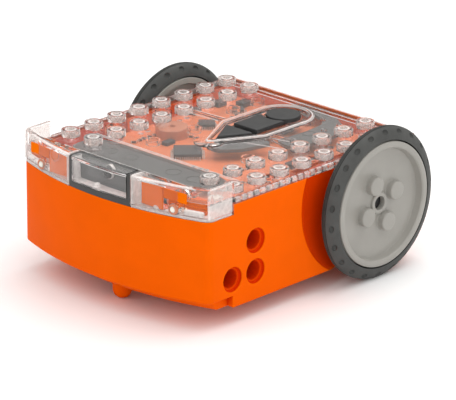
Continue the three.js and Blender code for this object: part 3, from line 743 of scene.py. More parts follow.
def housing_shell():
    front = front_slab(0, -20, FRONT_BOTTOM, FRONT_TOP, 0.15, 0.5)
    rear = soft_box(-SIDE_X, FLAP_END_Y, BODY_BOTTOM, SIDE_X, REAR_Y, DECK_BOTTOM, 0.35, 0.15, 0.4)
    levels = ((BODY_BOTTOM, 0.3, 0.3), (BODY_BOTTOM + 0.1, 0.1, 0.15), (BODY_BOTTOM + 0.3, 0, 0),
              (FRONT_BOTTOM + 0.7, 0, -FOOT_SLOPE))
    foot = loft([(z, front_outline(FOOT_INSET + inset, FLAP_END_Y + 0.6, FOOT_BACK + back))
                 for z, inset, back in levels])
    return joined(front, rear, foot)


def housing_room():
    """The space inside the shell, less the blocks and posts that stand in it."""
    inner = SIDE_X - WALL
    room = joined(front_slab(WALL, -26, FRONT_BOTTOM + 1.6, DECK_BOTTOM + 1),
                  prism(front_outline(FOOT_INSET + WALL, -29, FOOT_BACK), FLOOR_TOP, FRONT_BOTTOM + 3),
                  box(-inner, -26.4, FLOOR_TOP, inner, REAR_Y - WALL, DECK_BOTTOM + 1))
    low = FLOOR_TOP - 0.4
    blocks = [
        box(-BOX_HALF - 1.2, BOX_FRONT - 1.2, BODY_BOTTOM, BOX_HALF + 1.2, BOX_REAR + 1.2, 18.9),
        box(-4.6, 29.8, low, 4.6, REAR_Y - 0.5, 26),
        box(-11.5, -30.2, low, 11.5, -28.8, 27),
    ]
    for side in BOTH:
        blocks += [
            side_box(side, BOX_HALF, SIDE_X - 0.5, -31.4, -14.2, FRONT_BOTTOM, 26),
            side_box(side, 27.9, SIDE_X - 0.5, -2.9, REAR_Y - 0.5, BODY_BOTTOM, DECK_BOTTOM + 2),
            side_box(side, 11, SIDE_X - 1.6, -30.2, -28.8, low, DECK_BOTTOM - 0.2),
            side_box(side, 11.6, SIDE_X - 1.6, -40, -30, 26.8, 28.2),
        ]
    blocks += [moved(rod(2.15, BODY_BOTTOM, 26, 0.05), x, y) for x, y in SCREWS]
    return cut(room, *blocks)


def arch_dish(side):
    """Round hollow beside a wheel, whose edge sweeps out to the wall."""
    flat = SIDE_X - ARCH_DEPTH
    steps = [i / 10 for i in range(11)]
    sweep = [(ARCH_R - 5.5 + 5.8 * t, flat + (ARCH_DEPTH - 0.12) * t ** 2.2) for t in steps]
    rim_edge = [(ARCH_R + 0.45, SIDE_X), (ARCH_R + 0.6, SIDE_X + 0.5), (0, SIDE_X + 0.5)]
    return outward(lathe([(0, flat)] + sweep + rim_edge, 128), side, ARCH_Y, ARCH_Z)


def pin_hole(side, y, z):
    out = SIDE_X
    profile = [(0, out - PITCH), (2.45, out - PITCH), (2.45, out - 1.05), (2.6, out - 0.9), (3.05, out - 0.9),
               (3.2, out - 0.75), (3.2, out - 0.15), (3.35, out), (3.45, out + 0.5), (0, out + 0.5)]
    return outward(lathe(profile, 48), side, y, z)


def housing_holes():
    """Axle, gear pin, line sensor, pin, screw and skid holes."""
    holes = []
    for side in BOTH:
        x, y = side * LINE_SENSOR[0], LINE_SENSOR[1]
        holes += [outward(rod(2.5, 26.9, 33, 0.01), side, AXLE_Y, AXLE_Z),
                  outward(rod(0.85, 26.9, 29, 0.01), side, *GEAR_PIN),
                  moved(rod(1.65, 3.4, FRONT_BOTTOM + 1.8, 0.01), x, y),
                  moved(rod(2.1, FRONT_BOTTOM + 0.4, FRONT_BOTTOM + 1.9, 0.01), x, y)]
        holes += [pin_hole(side, y, z) for y, z in PIN_HOLES]
    holes += [moved(rod(1.1, 5, 24, 0.01), x, y) for x, y in SCREWS]
    holes.append(moved(rod(STUD_R + 0.1, 3.4, FRONT_BOTTOM + 1.8, 0.01), 0, SKID_Y))
    return together(*holes)


def in_painted_shade(x, y, z):
    """Whether a face of the housing lies in a wheel hollow or a pin hole, where shade is painted into its
    colour.
    """
    recessed = 28 < abs(x) < SIDE_X - 0.06 and hypot(y - ARCH_Y, z - ARCH_Z) < ARCH_R + 0.4
    bored = SIDE_X - PITCH - 0.1 < abs(x) < SIDE_X - 0.2 and any(
        hypot(y - hole_y, z - hole_z) < 3.3 for hole_y, hole_z in PIN_HOLES)
    return recessed or bored


def housing():
    shell = cut(housing_shell(), housing_room(),
                box(-BOX_HALF, BOX_FRONT, 3, BOX_HALF, BOX_REAR, 17.7),
                box(-BOX_HALF - 1.4, BOX_FRONT - 0.5, 3, BOX_HALF + 1.4, BOX_REAR + 0.7, 5.9),
                together(*(arch_dish(side) for side in BOTH)))
    collars = together(*(outward(rod(4.2, 28.3, 31.4, 0.25), side, AXLE_Y, AXLE_Z) for side in BOTH))
    shell = cut(joined(shell, collars), housing_holes(), copies(SCREWS, rod, 2.0, 3.4, 6.2, 0.01),
                box(-3.8, 26.2, 3, 3.8, 29.2, 7.6))
    made = piece("housing_shell", shell, "orange_plastic", replaces="bottom_housing")
    # Faces in the wheel hollows and pin holes take the darker orange as painted shade.
    made.data.materials.append(MATERIALS["orange_plastic_painted_shade"])
    for face in made.data.polygons:
        face.material_index = 1 if in_painted_shade(*(value / MM for value in face.center)) else 0


def door():
    """Battery door with grooves across it and a finger hollow."""
    x = BOX_HALF + 1.1
    plate = soft_box(-x, BOX_FRONT - 0.1, BODY_BOTTOM, x, BOX_REAR + 0.4, 5.7, 0.8, 0.1, 0.3)
    grip = soft_box(-5, BOX_REAR - 3.4, 3, 5, BOX_REAR - 1.6, 5, 0.8, 0.1)
    grooves = [box(-x + 3, y, 4.2, x - 3, y + 0.6, 4.75) for y in (-20, -17.6, -15.2, 6.4, 8.8, 11.2)]
    panel = cut(plate, grip, together(*grooves))
    piece("battery_door_panel", panel, "orange_plastic", "door", "battery_door", bevel=0.08)


def skid_peg():
    end = arc(0, STUD_R, STUD_R, -pi / 2, 0, 10)
    profile = [(0, 0)] + end[1:] + [(STUD_R, 8.6), (STUD_R - 0.2, 8.8), (0, 8.8)]
    piece("skid_round", moved(lathe(profile, 48), 0, SKID_Y), "orange_plastic", "skid_peg", "skid")


# ---- Clear cover ----

BEZEL_R = 7.8
BEZEL_Y = 24.45
ROUND_Y = 24.65
ROUND_R = 4.4
LAMP_R = 1.3
LAMP_X = 22.6
LAMP_Z = 30.3
STUD_TOP = DECK_TOP + STUD_H
WINDOW_HALF = 9.3
WINDOW_FLOOR = 29.95
INSERT_LOW = 29.8


def stud_centres():
    rows = [STUD_GRID_Y + (row - (STUD_ROWS - 1) / 2) * PITCH for row in range(STUD_ROWS)]
    return [(x, y) for x in STUD_COLUMNS for y in rows]


def teardrop(grow):
    """Outline of the bezel round the buttons."""
    x = BEZEL_R - 0.1 + grow
    low, tip = -2.4 - 1.2 * grow, -3.2 - 1.3 * grow
    return ([(x, 10.2)] + arc(0, BEZEL_Y, BEZEL_R + grow, -0.15, pi + 0.15, 28)
            + [(-x, 10.2), (-0.9, low), (0, tip), (0.9, low)])


def triangle_outline(grow):
    x, base, tip = 4.8 + 1.3 * grow, 8.85 + grow, 0.25 - 2.1 * grow
    return round_corners([(-x, base), (0, tip), (x, base)], 0.55)


def square_outline(grow):
    """Square button with a hollow rear edge that follows the round button."""
    x = 4.1 + grow
    hollow = ROUND_R + 0.75 - grow
    lean = acos((x - 0.45) / hollow)
    corner = ROUND_Y - hollow * sin(lean)
    rear = arc(0, ROUND_Y, hollow, -lean, -pi + lean, 12)
    return [(-x, 10.6 - grow), (x, 10.6 - grow), (x, corner)] + rear + [(-x, corner)]


def stud():
    low = DECK_TOP - 0.4
    return lathe([(0, low), (STUD_R + 0.05, low), (STUD_R + 0.05, DECK_TOP), (STUD_R, DECK_TOP + 0.15),
                  (STUD_R, STUD_TOP - 0.3), (STUD_R - 0.08, STUD_TOP - 0.1), (STUD_R - 0.3, STUD_TOP),
                  (0, STUD_TOP)], 32)


def stud_hollow():
    low, top = DECK_BOTTOM - 0.5, STUD_TOP - 0.4
    return lathe([(0, low), (1.5, low), (1.45, top - 0.2), (1.25, top), (0, top)], 24)


def stud_skin():
    """Faint ring of painted reflection inside a stud's wall."""
    low, top = DECK_TOP + 0.1, STUD_TOP - 0.3
    return lathe([(2.05, low), (2.15, low), (2.15, top), (2.05, top)], 24)


def stud_core():
    """Thin skin that lines a stud's hollow, a painted reflection for the pale inside of the clear stud."""
    low, top = DECK_BOTTOM + 0.2, STUD_TOP - 0.5
    return lathe([(1.36, low), (1.34, top - 0.2), (1.15, top), (0, top), (0, top - 0.08), (1.1, top - 0.08),
                  (1.26, top - 0.24), (1.28, low)], 24)


def stud_cap():
    """Ring under a stud's top, a painted highlight for the stud's bright rim."""
    low, top = STUD_TOP - 0.3, STUD_TOP - 0.15
    return lathe([(1.0, low), (1.45, low), (1.5, low + 0.08), (1.45, top), (1.0, top)], 24)


def front_block():
    """Clear block over the curved front: wall, flat top, corner flaps and sill."""
    deep = FLAP_END_Y + 3
    above = front_slab(1.1, deep, DECK_TOP, RIM_TOP + 2, 0, 0.2)
    above = combined("INTERSECT", above, [box(-SIDE_X, BLOCK_BACK_Y, -5, SIDE_X, 0, ABOVE)])
    hollow = before(BLOCK_BACK_Y - 0.9, front_slab(1.2, deep, FRONT_TOP - 1, RIM_TOP - 1.2, 0.4))
    below = before(0, front_slab(1.3, deep, FRONT_TOP - 1, DECK_BOTTOM))
    slots = [side_box(side, SHIELD_X - POST_T - 0.15, SHIELD_X + 0.15, -42, BLOCK_BACK_Y + 0.2,
                      FRONT_TOP - 1, RIM_TOP + 1) for side in BOTH]
    slots.append(box(-SHIELD_X, -42, FRONT_TOP - 1, SHIELD_X, -38, FRONT_TOP + 1.7))
    sills = [before(-34.7, front_slab(1.2, -30, FRONT_TOP, FRONT_TOP + 0.9, 0.2),
                    *span(side, SHIELD_X + 0.15, SIDE_X - 1)) for side in BOTH]
    block = front_slab(0, FLAP_END_Y, FRONT_TOP, RIM_TOP, 0.35)
    return joined(cut(block, above, hollow, below, *slots), *sills)


def window_rings():
    """Short rings behind the window wall, their axes pointing forward."""
    rings = []
    for x in (-24.8, -16.9, 19.0, 24.8):
        y = -front_curve_y(x, 1.25)
        rings.append(forward(lathe([(1.15, y - 0.8), (1.75, y - 0.8), (1.75, y), (1.15, y)], 32), x, 34.3))
    return rings


def edge_blocks():
    """Blocks of painted reflection inside the deck's side edges, which show as the row of pale teeth seen
    from the side.
    """
    blocks = []
    for side in BOTH:
        for i in range(29):
            y = FLAP_END_Y + 1.0 + i * 2.2
            high = DECK_TOP - (0.35 if i % 3 else 0.5)
            blocks.append(side_box(side, SIDE_X - 0.9, SIDE_X - 0.2, y, y + 1.5, DECK_BOTTOM + 0.2, high))
    return blocks


def window_edges():
    """Strips of painted highlight along the foot of the clear block, its thick inner ends and the corner
    flaps.
    """
    strips = []
    near = SHIELD_X + 0.3
    for side in BOTH:
        wide = span(side, near, SIDE_X)
        foot = front_skin(0.12, 0.75, FLAP_END_Y - 0.3, FRONT_TOP + 0.08, FRONT_TOP + 0.55)
        strips.append(before(FLAP_END_Y - 0.5, foot, *wide))
        for x0, x1, back in ((near, 19.3, -37.3), (19.3, SIDE_X - 1.5, -32.4)):
            shelf = front_slab(1.3, -30, FRONT_TOP + 0.15, FRONT_TOP + 0.75)
            strips.append(before(back, shelf, *span(side, x0, x1)))
        end = front_slab(0.15, -30, FRONT_TOP + 0.9, RIM_TOP - 0.3)
        strips.append(before(-36.6, end, *span(side, near, near + 0.7)))
        top = front_skin(0.25, 0.8, -30, RIM_TOP - 0.55, RIM_TOP - 0.35)
        strips.append(before(-36.0, top, *wide))
        strips.append(side_box(side, SIDE_X - 0.7, SIDE_X - 0.25, -35, FLAP_END_Y - 0.35,
                               FRONT_TOP + 0.75, DECK_TOP - 0.1))
    return strips


# Blocks of painted reflection inside the clear corner flaps.
def flap_cores():
    return [side_box(side, SIDE_X - 0.8, SIDE_X - 0.3, -35.0, FLAP_END_Y - 0.35,
                     DECK_TOP, RIM_TOP - 0.4) for side in BOTH]


def sill_knobs():
    """Short domed knobs and a long one that stand on the sill behind the two clear windows, in painted
    highlight white.
    """
    z = FRONT_TOP + 0.8
    profile = [(0, z), (1.3, z), (1.3, z + 0.3), (1.0, z + 0.7), (0.75, z + 0.8), (0.7, z + 1.4),
               (0.5, z + 1.65), (0, z + 1.75)]
    knobs = [moved(lathe(profile, 24), x, front_curve_y(x, 0) + 2.55)
             for x in (-29.0, -26.0, -19.5, 17.0, 21.7)]
    long_knob = soft_box(-2.6, -0.6, z, 2.6, 0.6, z + 1.2, 0.5, 0.4)
    return knobs + [moved(turned(long_knob, 0.28), 26.9, -34.9)]


def window_walls():
    """Orange walls close behind the front windows and at the deck's back edge."""
    front, back = -37.65, -37.3
    top = RIM_TOP - 1.6
    walls = []
    for side in BOTH:
        walls.append(side_box(side, 12.2, 19.2, front, back, FRONT_TOP + 0.95, top))
        band = front_skin(2.9, 3.4, -30, FRONT_TOP + 0.6, DECK_TOP - 0.15)
        for wall in (before(-32.2, band, *span(side, 19.4, 28.8)),
                     side_box(side, 19.4, 26.6, front, back, DECK_TOP - 0.1, top)):
            hole = forward(rod(LAMP_R + 0.3, 30, 42, 0.01), side * LAMP_X, LAMP_Z)
            walls.append(cut(wall, hole))
    walls.append(box(-31.4, 37.75, DECK_BOTTOM + 0.15, 31.4, 38.35, DECK_TOP - 0.12))
    piece("window_walls", together(*walls), "orange_plastic")


def deck_ridges():
    """Raised lines and small rings that are moulded into the deck's top."""
    low = DECK_TOP - 0.3
    lines = ((-19.2, 10.3, -8.2, 11.1, 0.45, 0.45), (-19.2, 11.5, -8.2, 12.3, 0.45, 0.45),
             (8.2, 11.0, 14.2, 12.1, 0.45, 0.45), (8.2, 12.2, 14.0, 13.3, 0.45, 0.45),
             (9.2, 9.8, 17.3, 7.5, 0.3, 0.2), (-30.5, 35.3, 30.5, 35.3, 0.3, 0.3),
             (-30.5, 37.9, 30.5, 37.9, 0.25, 0.25))
    ridges = [bar(*ends, width, low, DECK_TOP + height) for *ends, width, height in lines]
    rings = [ring(x, y, 0.75, 0.3, low, DECK_TOP + 0.4) for x in (8.9, 14.5) for y in (24.1, 29.7)
             if hypot(x, y - BEZEL_Y) > BEZEL_R + 1.7]
    return ridges + rings


def deck_lines():
    """Thin lines of painted highlight on the deck: beside the insert, along the rear strip, round the buttons
    and across.
    """
    low, high = DECK_TOP - 0.05, DECK_TOP + 0.12
    lines = ((-24.5, -17.2, 24.5, -17.2), (-24.5, -17.9, 24.5, -17.9), (-24, -28.6, 24, -28.6),
             (-30.8, 33.3, 30.8, 33.3), (-30.8, 35.25, 30.8, 35.25), (-30.8, 37.95, 30.8, 37.95),
             (-19.2, 10.0, -9.4, 10.8), (-19.2, 12.6, -9.4, 13.4), (9.3, 10.7, 14.2, 11.8),
             (9.3, 13.2, 14.0, 14.3), (6.3, 3.5, 17.3, 7.2))
    band = cut(prism(teardrop(-0.1), DECK_TOP + 0.1, DECK_TOP + 0.45), prism(teardrop(-0.45), 0, ABOVE))
    return [bar(*ends, 0.22, low, high) for ends in lines] + [band]


def under_rings():
    """Clear ring bosses under the deck."""
    spots = ((-11.3, 4.1), (-14.8, 21.8), (-12.2, -9.6), (13.4, -2.2), (12.6, 20.6), (-14.6, 30.6))
    return [ring(x, y, 1.9, 1.35, DECK_BOTTOM - 1.2, DECK_BOTTOM + 0.3) for x, y in spots]


def rear_ribs():
    """Fine grooves across the strip at the back of the deck."""
    return together(*(box(x, y0, DECK_TOP - 0.45, x + 0.5, y1, DECK_TOP + 0.5)
                      for x in range(-19, 17) for y0, y1 in ((33.6, 35.0), (35.6, 37.6))))


def cover():
    deck = soft_box(-SIDE_X, FLAP_END_Y - 0.5, DECK_BOTTOM, SIDE_X, REAR_Y, DECK_TOP, 0.4, 0.2)
    apex = moved(rod(3.75, DECK_TOP - 0.3, DECK_TOP + 0.35, 0.15, 48), 0.2, -2.6)
    bezel = soft_prism(lambda i: teardrop(0.25 - i), DECK_TOP - 0.5, DECK_TOP + 0.7, 0.25)
    body = joined(front_block(), deck, copies(stud_centres(), stud), apex, bezel)
    dish = soft_prism(lambda i: teardrop(-0.95 - i), DECK_TOP + 0.25, DECK_TOP + 2, 0, 0.15)
    pit = soft_prism(lambda i: teardrop(-1.35 - i), DECK_TOP, DECK_TOP + 2, 0, 0.1)
    openings = [prism(outline, DECK_BOTTOM - 1, DECK_TOP + 2) for outline in
                (triangle_outline(0.3), square_outline(0.3), circle(0, ROUND_Y, ROUND_R + 0.6, 48))]
    body = cut(body, dish, pit, *openings)
    body = joined(body, *deck_ridges(), *under_rings(), *window_rings())
    body = cut(body, rear_ribs(), copies(stud_centres(), stud_hollow))
    body = joined(body, copies(SCREWS, rod, 2.15, PCB_TOP - 1.5, DECK_BOTTOM + 0.5, 0.05))
    lamp_room = [(0, 29), (LAMP_R + 0.2, 29), (LAMP_R + 0.2, 37.6), (0, 37.6)]
    body = cut(body, copies(SCREWS, rod, 0.8, PCB_TOP - 2.6, DECK_BOTTOM - 1, 0.05),
               *(forward(lathe(lamp_room, 24), side * LAMP_X, LAMP_Z) for side in BOTH))
    piece("clear_cover", body, "clear_plastic", replaces="top_cover", smooth=35)


def cover_facets():
    """The pale pieces inside and on the clear cover, which stand for its moulded facets: painted highlights
    and reflections where the facets catch the light.
    """
    for name, shape, look in (("stud_cores", stud_core, "painted_reflection_plastic"),
                              ("stud_skins", stud_skin, "painted_reflection_plastic"),
                              ("stud_caps", stud_cap, "painted_highlight_plastic")):
        piece(name, copies(stud_centres(), shape), look)
    for name, parts, look in (("deck_lines", deck_lines(), "painted_highlight_plastic"),
                              ("edge_blocks", edge_blocks(), "painted_reflection_plastic"),
                              ("flap_cores", flap_cores(), "painted_reflection_plastic"),
                              ("sill_knobs", sill_knobs(), "painted_glint_plastic"),
                              ("window_edges", window_edges(), "painted_highlight_plastic")):
        piece(name, together(*parts), look)


def middle_window():
    """Dark frame and grey wall behind the middle window, with a pale liner and knob between them: painted
    highlights of the clear box and a clear dome.
    """
    low = FRONT_TOP + 0.05
    posts = []
    for side in BOTH:
        x0, x1 = span(side, SHIELD_X, SHIELD_X - POST_T)
        tall = front_slab(0.1, -30, low, RIM_TOP - 0.1, 0.5)
        posts += [before(BLOCK_BACK_Y, tall, x0, x1), box(x0, -38, low, x1, -33, 30.6)]
    bar_low = before(-39.3, front_slab(0.1, -30, low, FRONT_TOP + 1.5, 0.15), -SHIELD_X, SHIELD_X)
    piece("window_frame", joined(bar_low, *posts), "frame_grey", replaces="sensor_shield", bevel=0.06)
    wall = soft_box(-WINDOW_HALF, -36.9, WINDOW_FLOOR, WINDOW_HALF, -36.5, 35.3, 0.2, 0.2)
    piece("window_back", wall, "grey_insert")
    # Painted highlight: the pale liner and knob stand for the lit edges of the clear box and a clear dome.
    low = front_slab(1.4, -30, WINDOW_FLOOR, WINDOW_FLOOR + 0.2, 0.08)
    cheeks = [side_box(side, WINDOW_HALF - 0.25, WINDOW_HALF, -39.3, -37.0, WINDOW_FLOOR + 0.25, 35.2)
              for side in BOTH]
    liner = together(before(-37.0, low, -WINDOW_HALF, WINDOW_HALF), *cheeks)
    piece("window_liner", liner, "painted_highlight_plastic")
    dome = [(0, 30.2), (1.2, 30.2), (1.15, 30.45), (0.8, 30.65), (0.72, 31.0), (0.5, 31.2), (0, 31.3)]
    piece("window_knob", moved(lathe(dome, 24), -1.6, -38.9), "painted_highlight_plastic")


def domed(radius, z0, shoulder, rise, turns):
    """Profile of a round body with a domed top."""
    dome = [(radius * cos(t), shoulder + rise * sin(t)) for t in turns]
    return [(0, z0), (radius, z0), (radius, shoulder)] + dome + [(0, shoulder + rise)]


def sensor_lens():
    x, z = 1.2, 34.0
    lens = lathe(domed(1.2, 37.1, 38.0, 0.9, (0.3, 0.6, 0.9, 1.2)), 32)
    piece("receiver_lens", forward(lens, x, z), "lens_black", replaces="ir_receiver")
    # The pale cup round the black lens is a painted highlight ring.
    cup = lathe([(1.22, 37.1), (1.38, 37.1), (1.38, 37.9), (1.35, 38.0), (1.28, 38.0), (1.22, 37.9)], 32)
    piece("receiver_cup", forward(cup, x, z), "painted_highlight_plastic")


def shield_plate():
    """Grey insert under the front of the deck, rounded around the inner studs, with faint engraved ovals."""
    def outline(inset):
        x, front, back = 24.3 - inset, -26.6 + inset, -18.9 - inset
        return round_corners([(-x, back), (-x, front), (-13.5, front - 2.6), (13.5, front - 2.6), (x, front),
                              (x, back), (18, back + 2), (-18, back + 2)], 2.0, 6)
    marks = [moved(lathe([(1.9, 30.72), (2.1, 30.72), (2.1, 31.2), (1.9, 31.2)], 36), x, -22.6)
             for x in (-14.2, -7.2, 7.6, 14.8)]
    marks += [soft_box(-19.5, y, 30.75, 19.5, y + 0.2, 31.2, 0.05, 0) for y in (-27.2, -18.5)]
    piece("shield_plate", cut(soft_prism(outline, 30.0, 30.85, 0.15), together(*marks)), "grey_insert")


def rear_insert():
    """Grey insert beside the buttons, with a band along the bezel."""
    outline = round_corners([(-6, 36.2), (-6, 33.6), (3, 33.2), (7.6, 31.4), (9.6, 28.4), (10.2, 22),
                             (9.6, 12), (13.8, 10.8), (17.1, 13), (17.3, 26.4), (14.6, 30.6), (10, 34.4),
                             (4, 36.2)], 0.9)
    plate = prism(outline, INSERT_LOW, INSERT_LOW + 0.95)
    piece("rear_insert", plate, "grey_insert", replaces="rear_plate", bevel=0.1)
    band = round_corners([(-0.5, -3.0), (3.5, -3.4), (7.6, 1.0), (9.9, 9.4), (8.0, 10.5)], 0.8)
    piece("bezel_band", prism(band, INSERT_LOW, INSERT_LOW + 0.9), "grey_insert", bevel=0.1)


# ---- Buttons ----

def buttons():
    """Each cap stands on a wider lip under the deck and a stem over its switch."""
    shapes = {
        "triangle": (lambda i: triangle_outline(-i - 0.15), 5.9, triangle_outline(0.7)),
        "square": (lambda i: square_outline(-i - 0.15), 13.9,
                   [(-4.8, 9.95), (4.8, 9.95), (4.8, 18.6), (-4.8, 18.6)]),
        "round": (lambda i: circle(0, ROUND_Y, ROUND_R - i, 48), ROUND_Y,
                  [(-4, 21.6), (4, 21.6), (5.3, ROUND_Y), (3.6, 29), (-3.6, 29), (-5.3, ROUND_Y)]),
    }
    for name, (outline, y, lip) in shapes.items():
        cap = soft_prism(outline, 30.5, BUTTON_TOP, 0.3, 0, 4)
        cap = joined(cap, prism(lip, 29.9, 30.6), moved(rod(1.5, 29.65, 30.7, 0.1), 0, y))
        piece(f"{name}_cap", cap, "button_grey", f"{name}_key", f"{name}_button", smooth=40)


# ---- Circuit board ----

def leaded_chip(name, node, size, height, x, y, pins):
    """Flat chip turned 45 degrees, with a row of bent legs on each side."""
    half = size / 2
    body = soft_box(-half, -half, PCB_TOP + 0.15, half, half, PCB_TOP + height, 0.15, 0.12)
    mark = moved(rod(0.3, PCB_TOP + height - 0.06, PCB_TOP + height + 0.3, 0.01, 16), half - 0.8, half - 0.8)
    piece(name + "_body", moved(turned(cut(body, mark), pi / 4), x, y), "chip_black", replaces=node)
    legs = []
    pitch = (size - 1) / (pins - 1)
    for side in range(4):
        for i in range(pins):
            x0, x1 = (-half + 0.5 + (i + lean) * pitch for lean in (-0.22, 0.22))
            foot = box(x0, half + 0.2, ON_BOARD, x1, half + 0.8, PCB_TOP + 0.14)
            knee = box(x0, half - 0.05, PCB_TOP + 0.1, x1, half + 0.3, PCB_TOP + height * 0.5)
            legs += [turned(leg, side * pi / 2) for leg in (foot, knee)]
    piece(name + "_legs", moved(turned(together(*legs), pi / 4), x, y), "tinned_leg", bevel=0.02)


def resistors():
    """Resistors and capacitors in short rows, each a little out of place."""
    random.seed(7)
    rows = ((-17, 5, 5, 0), (-9, -14, 6, 0), (6, -13, 5, 0), (-16, 19, 4, 1), (-10, 28, 5, 0), (13, -8, 4, 1),
            (-20.5, -8, 5, 1), (-6, -17, 4, 0), (17.5, 18, 4, 1), (3, -10.5, 3, 0), (-13, 33.4, 4, 0),
            (19.5, -12, 4, 1))
    bodies, ends = [], []
    for x, y, count, upright in rows:
        for i in range(count):
            px = x + (0 if upright else i * 1.9) + random.uniform(-0.15, 0.15)
            py = y + (i * 1.9 if upright else 0) + random.uniform(-0.15, 0.15)
            turn = pi / 4 * random.choice((0, 2, 1))
            body = soft_box(-0.5, -0.35, ON_BOARD, 0.5, 0.35, PCB_TOP + 0.45, 0.05, 0.05)
            tips = together(*(side_box(side, 0.5, 0.78, -0.37, 0.37, ON_BOARD, PCB_TOP + 0.47)
                              for side in BOTH))
            bodies.append(moved(turned(body, turn), px, py))
            ends.append(moved(turned(tips, turn), px, py))
    piece("resistor_bodies", together(*bodies), "chip_black")
    piece("resistor_ends", together(*ends), "tinned_leg", bevel=0.03)


def blocks_and_pads():
    blocks = [soft_box(x - w, y - d, ON_BOARD, x + w, y + d, PCB_TOP + h, 0.2, 0.1) for x, y, w, d, h in
              ((-20.6, 31.8, 1.3, 1.7, 1.4), (-25.2, 27.6, 1.2, 1.6, 1.3), (-25.2, 18.6, 1.1, 1.4, 1.4),
               (9.4, -18, 1.8, 1.3, 1.1), (-13.8, -2.6, 1.0, 1.6, 0.9), (19.8, 6.6, 1.3, 1.3, 1.2))]
    piece("board_blocks", together(*blocks), "chip_black")
    spots = [(x, y) for x in (-24.2, 22.6) for y in (-20, -17.4, -14.8, -2, 0.6, 12, 14.6)]
    piece("board_pads", copies(spots, rod, 0.75, PCB_TOP + 0.01, PCB_TOP + 0.14, 0.04, 20), "tinned_leg")


def board():
    plate = soft_box(*BOARD_LOW, *BOARD_HIGH, 1.0, 0.05)
    plate = cut(plate, copies(SCREWS, rod, 2.6, 25, 29, 0.01))
    piece("board_plate", plate, "board_mask", replaces="main_board")
    leaded_chip("controller", "microcontroller", 7, 1.4, -4.8, -4.9, 12)
    leaded_chip("driver", "motor_driver", 4.2, 1.3, -16, 13.5, 7)
    leaded_chip("memory", "memory_chip", 3, 1.1, -18.5, 27.5, 4)
    resistors()
    blocks_and_pads()
    can = lathe([(0, PCB_TOP), (4.2, PCB_TOP), (4.2, 30.0), (4.0, 30.2), (0.9, 30.2), (0.7, 29.4),
                 (0, 29.4)], 48)
    piece("buzzer_can", moved(can, -17.5, 2.5), "buzzer_brass", replaces="buzzer")


def lamps():
    """Each lamp has a domed lens, and a pale tip in a collar that shows through the window."""
    wide = LAMP_R * 0.6
    tip = [(0, 34.3), (wide, 34.3), (wide, 38.1), (LAMP_R * 0.45, 38.35), (0, 38.4)]
    hole = LAMP_R * 0.65
    collar = [(hole, 37.5), (LAMP_R, 37.5), (LAMP_R, 38.1), (LAMP_R - 0.1, 38.2), (hole, 38.2)]
    for name, side in SIDES:
        place = (side * LAMP_X, LAMP_Z)
        dome = lathe(domed(LAMP_R, 30.25, 33.2, 1.0, (0.4, 0.8, 1.2)), 32)
        piece(f"{name}_lamp_dome", forward(dome, *place), "amber_lens", replaces=f"{name}_ir_lamp")
        piece(f"{name}_lamp_tip", forward(lathe(tip, 24), *place), "pale_lens")
        piece(f"{name}_lamp_collar", forward(lathe(collar, 24), *place), "buzzer_brass")


# ---- Wheels ----

FACE_X = 35.35
TYRE_DIMPLES = 22


def wheel_point(radius, angle):
    return AXLE_Y + radius * cos(angle), AXLE_Z + radius * sin(angle)


def rim(name, side):
    """Dished wheel disc with a hub, a raised rim and four studs."""
    seat = RIM_R - 0.1
    profile = [
        (2.5, 32.5), (4.2, 32.5), (4.2, 33.9), (14, 33.9), (14.6, 32.5), (16.0, 32.5), (seat, 32.6),
        (seat, 34.2), (15.6, 34.5), (15.6, 35.5), (seat, 35.8), (seat, 37.1), (16.0, 37.36),
        (15.8, 37.47), (15.5, RIM_OUT),
        (14.9, RIM_OUT), (14.6, 37.42), (14.35, 37.15), (14.1, 35.8), (13.95, 35.48), (13.6, FACE_X),
        (3.2, FACE_X), (2.95, 35.42), (2.85, 35.6), (2.8, 35.8), (2.65, 35.93), (2.45, 35.95), (1.95, 35.95),
        (1.8, 35.88), (1.75, 35.7), (1.75, 34.5), (2.5, 34.5),
    ]
    top = FACE_X + STUD_H
    stud_profile = [(0, 35.0), (2.75, 35.0), (2.7, 35.37), (2.5, 35.45), (STUD_R, 35.65),
                    (STUD_R, top - 0.35), (2.34, top - 0.16), (2.2, top - 0.04), (2.0, top), (0, top)]
    studs = []
    for corner in range(4):
        y, z = wheel_point(PITCH / sqrt(2), pi / 4 + corner * pi / 2 - side * 0.37)
        studs.append(outward(lathe(stud_profile, 40), side, y, z))
    disc = joined(outward(lathe(profile, 128), side, AXLE_Y, AXLE_Z), together(*studs))
    piece(f"{name}_rim_disc", disc, "rim_grey", f"{name}_wheel", f"{name}_rim")


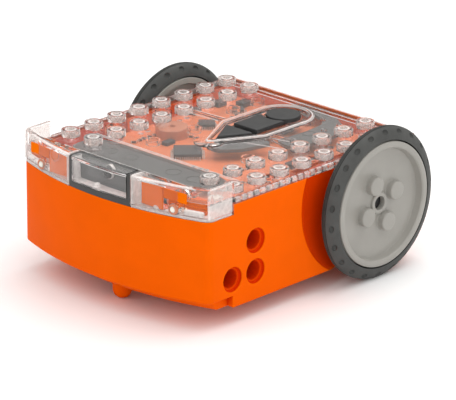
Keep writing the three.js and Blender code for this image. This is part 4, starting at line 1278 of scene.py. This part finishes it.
def tyre(name, side):
    """Rubber ring with fine grooves round the tread and a row of oval dimples on each sidewall."""
    r = TYRE_R
    outer = ((16.45, 2.3), (16.9, 2.25), (17.6, 2.02), (18.4, 1.62), (19.0, 1.2), (19.35, 0.8),
             (r - 0.08, 0.62), (r - 0.08, 0.5), (r - 0.3, 0.45), (r - 0.3, 0.3), (r, 0.25), (r, 0.1),
             (r - 0.3, 0.05))
    middle = (RIM_IN + RIM_OUT) / 2 - 0.05
    profile = [(radius, middle - out) for radius, out in outer]
    profile += [(radius, middle + out) for radius, out in reversed(outer)]
    profile += [(16.45, 35.9), (15.8, 35.5), (15.8, 34.5), (16.45, 34.1)]
    dimples = []
    for i in range(TYRE_DIMPLES):
        angle = 2 * pi * (i + 0.35) / TYRE_DIMPLES
        for x in (33.28, 36.62):
            ball = bmesh.new()
            bmesh.ops.create_icosphere(ball, subdivisions=3, radius=1)
            bmesh.ops.scale(ball, verts=ball.verts, vec=(0.75, 0.72, 1.0))
            dimples.append(moved(turned(ball, angle, "X"), side * x, *wheel_point(18.55, angle)))
    body = cut(outward(lathe(profile, 160), side, AXLE_Y, AXLE_Z), together(*dimples))
    piece(f"{name}_tyre_ring", body, "tyre_rubber", f"{name}_wheel", f"{name}_tyre")


def wheels():
    for name, side in SIDES:
        rim(name, side)
        tyre(name, side)


# ---- Underside ----

def screws():
    """Case screws with cross-shaped drives, each turned a little differently."""
    profile = [(0, 5.0), (1.5, 5.0), (1.75, 5.2), (1.8, 5.5), (1.8, 6.1), (0.95, 6.15), (0.95, 19.6),
               (0.7, 20), (0, 20)]
    for i, (x, y) in enumerate(SCREWS, 1):
        bars = [box(-w, -d, 4.5, w, d, 5.6) for w, d in ((1.15, 0.22), (0.22, 1.15))]
        screw = turned(cut(lathe(profile, 32), *bars), 0.4 * i)
        piece(f"screw_{i}", moved(screw, x, y), "plated_steel", replaces=f"case_screw_{i}")


def switch_knob():
    """Ribbed slide knob."""
    body = soft_box(-2.6, 26.6, 4.7, 0.6, 28.8, 5.8, 0.25, 0.1, 0.15)
    grooves = [box(-2.2 + i * 0.7, 26, 4.4, -1.9 + i * 0.7, 29.4, 4.95) for i in range(4)]
    knob = cut(joined(body, box(-2.2, 26.8, 5.6, 0.2, 28.6, 9)), together(*grooves))
    piece("switch_slider_knob", knob, "button_grey", "switch_slider", "power_switch_knob")


def round_node_edges():
    """Small soft edges on the CAD pieces that are shown as they are."""
    for node in NODES.values():
        if node.hide_render:
            continue
        weld = node.modifiers.new("weld", "WELD")
        weld.merge_threshold = 1e-6
        soft_edges(node, 0.05, radians(35))


# ---- Assembly ----

for step in (camera, materials, studio, dress_nodes, housing, door, skid_peg, cover, cover_facets,
             window_walls, middle_window, sensor_lens, shield_plate, rear_insert, buttons, board, lamps,
             wheels, screws, switch_knob, round_node_edges):
    step()
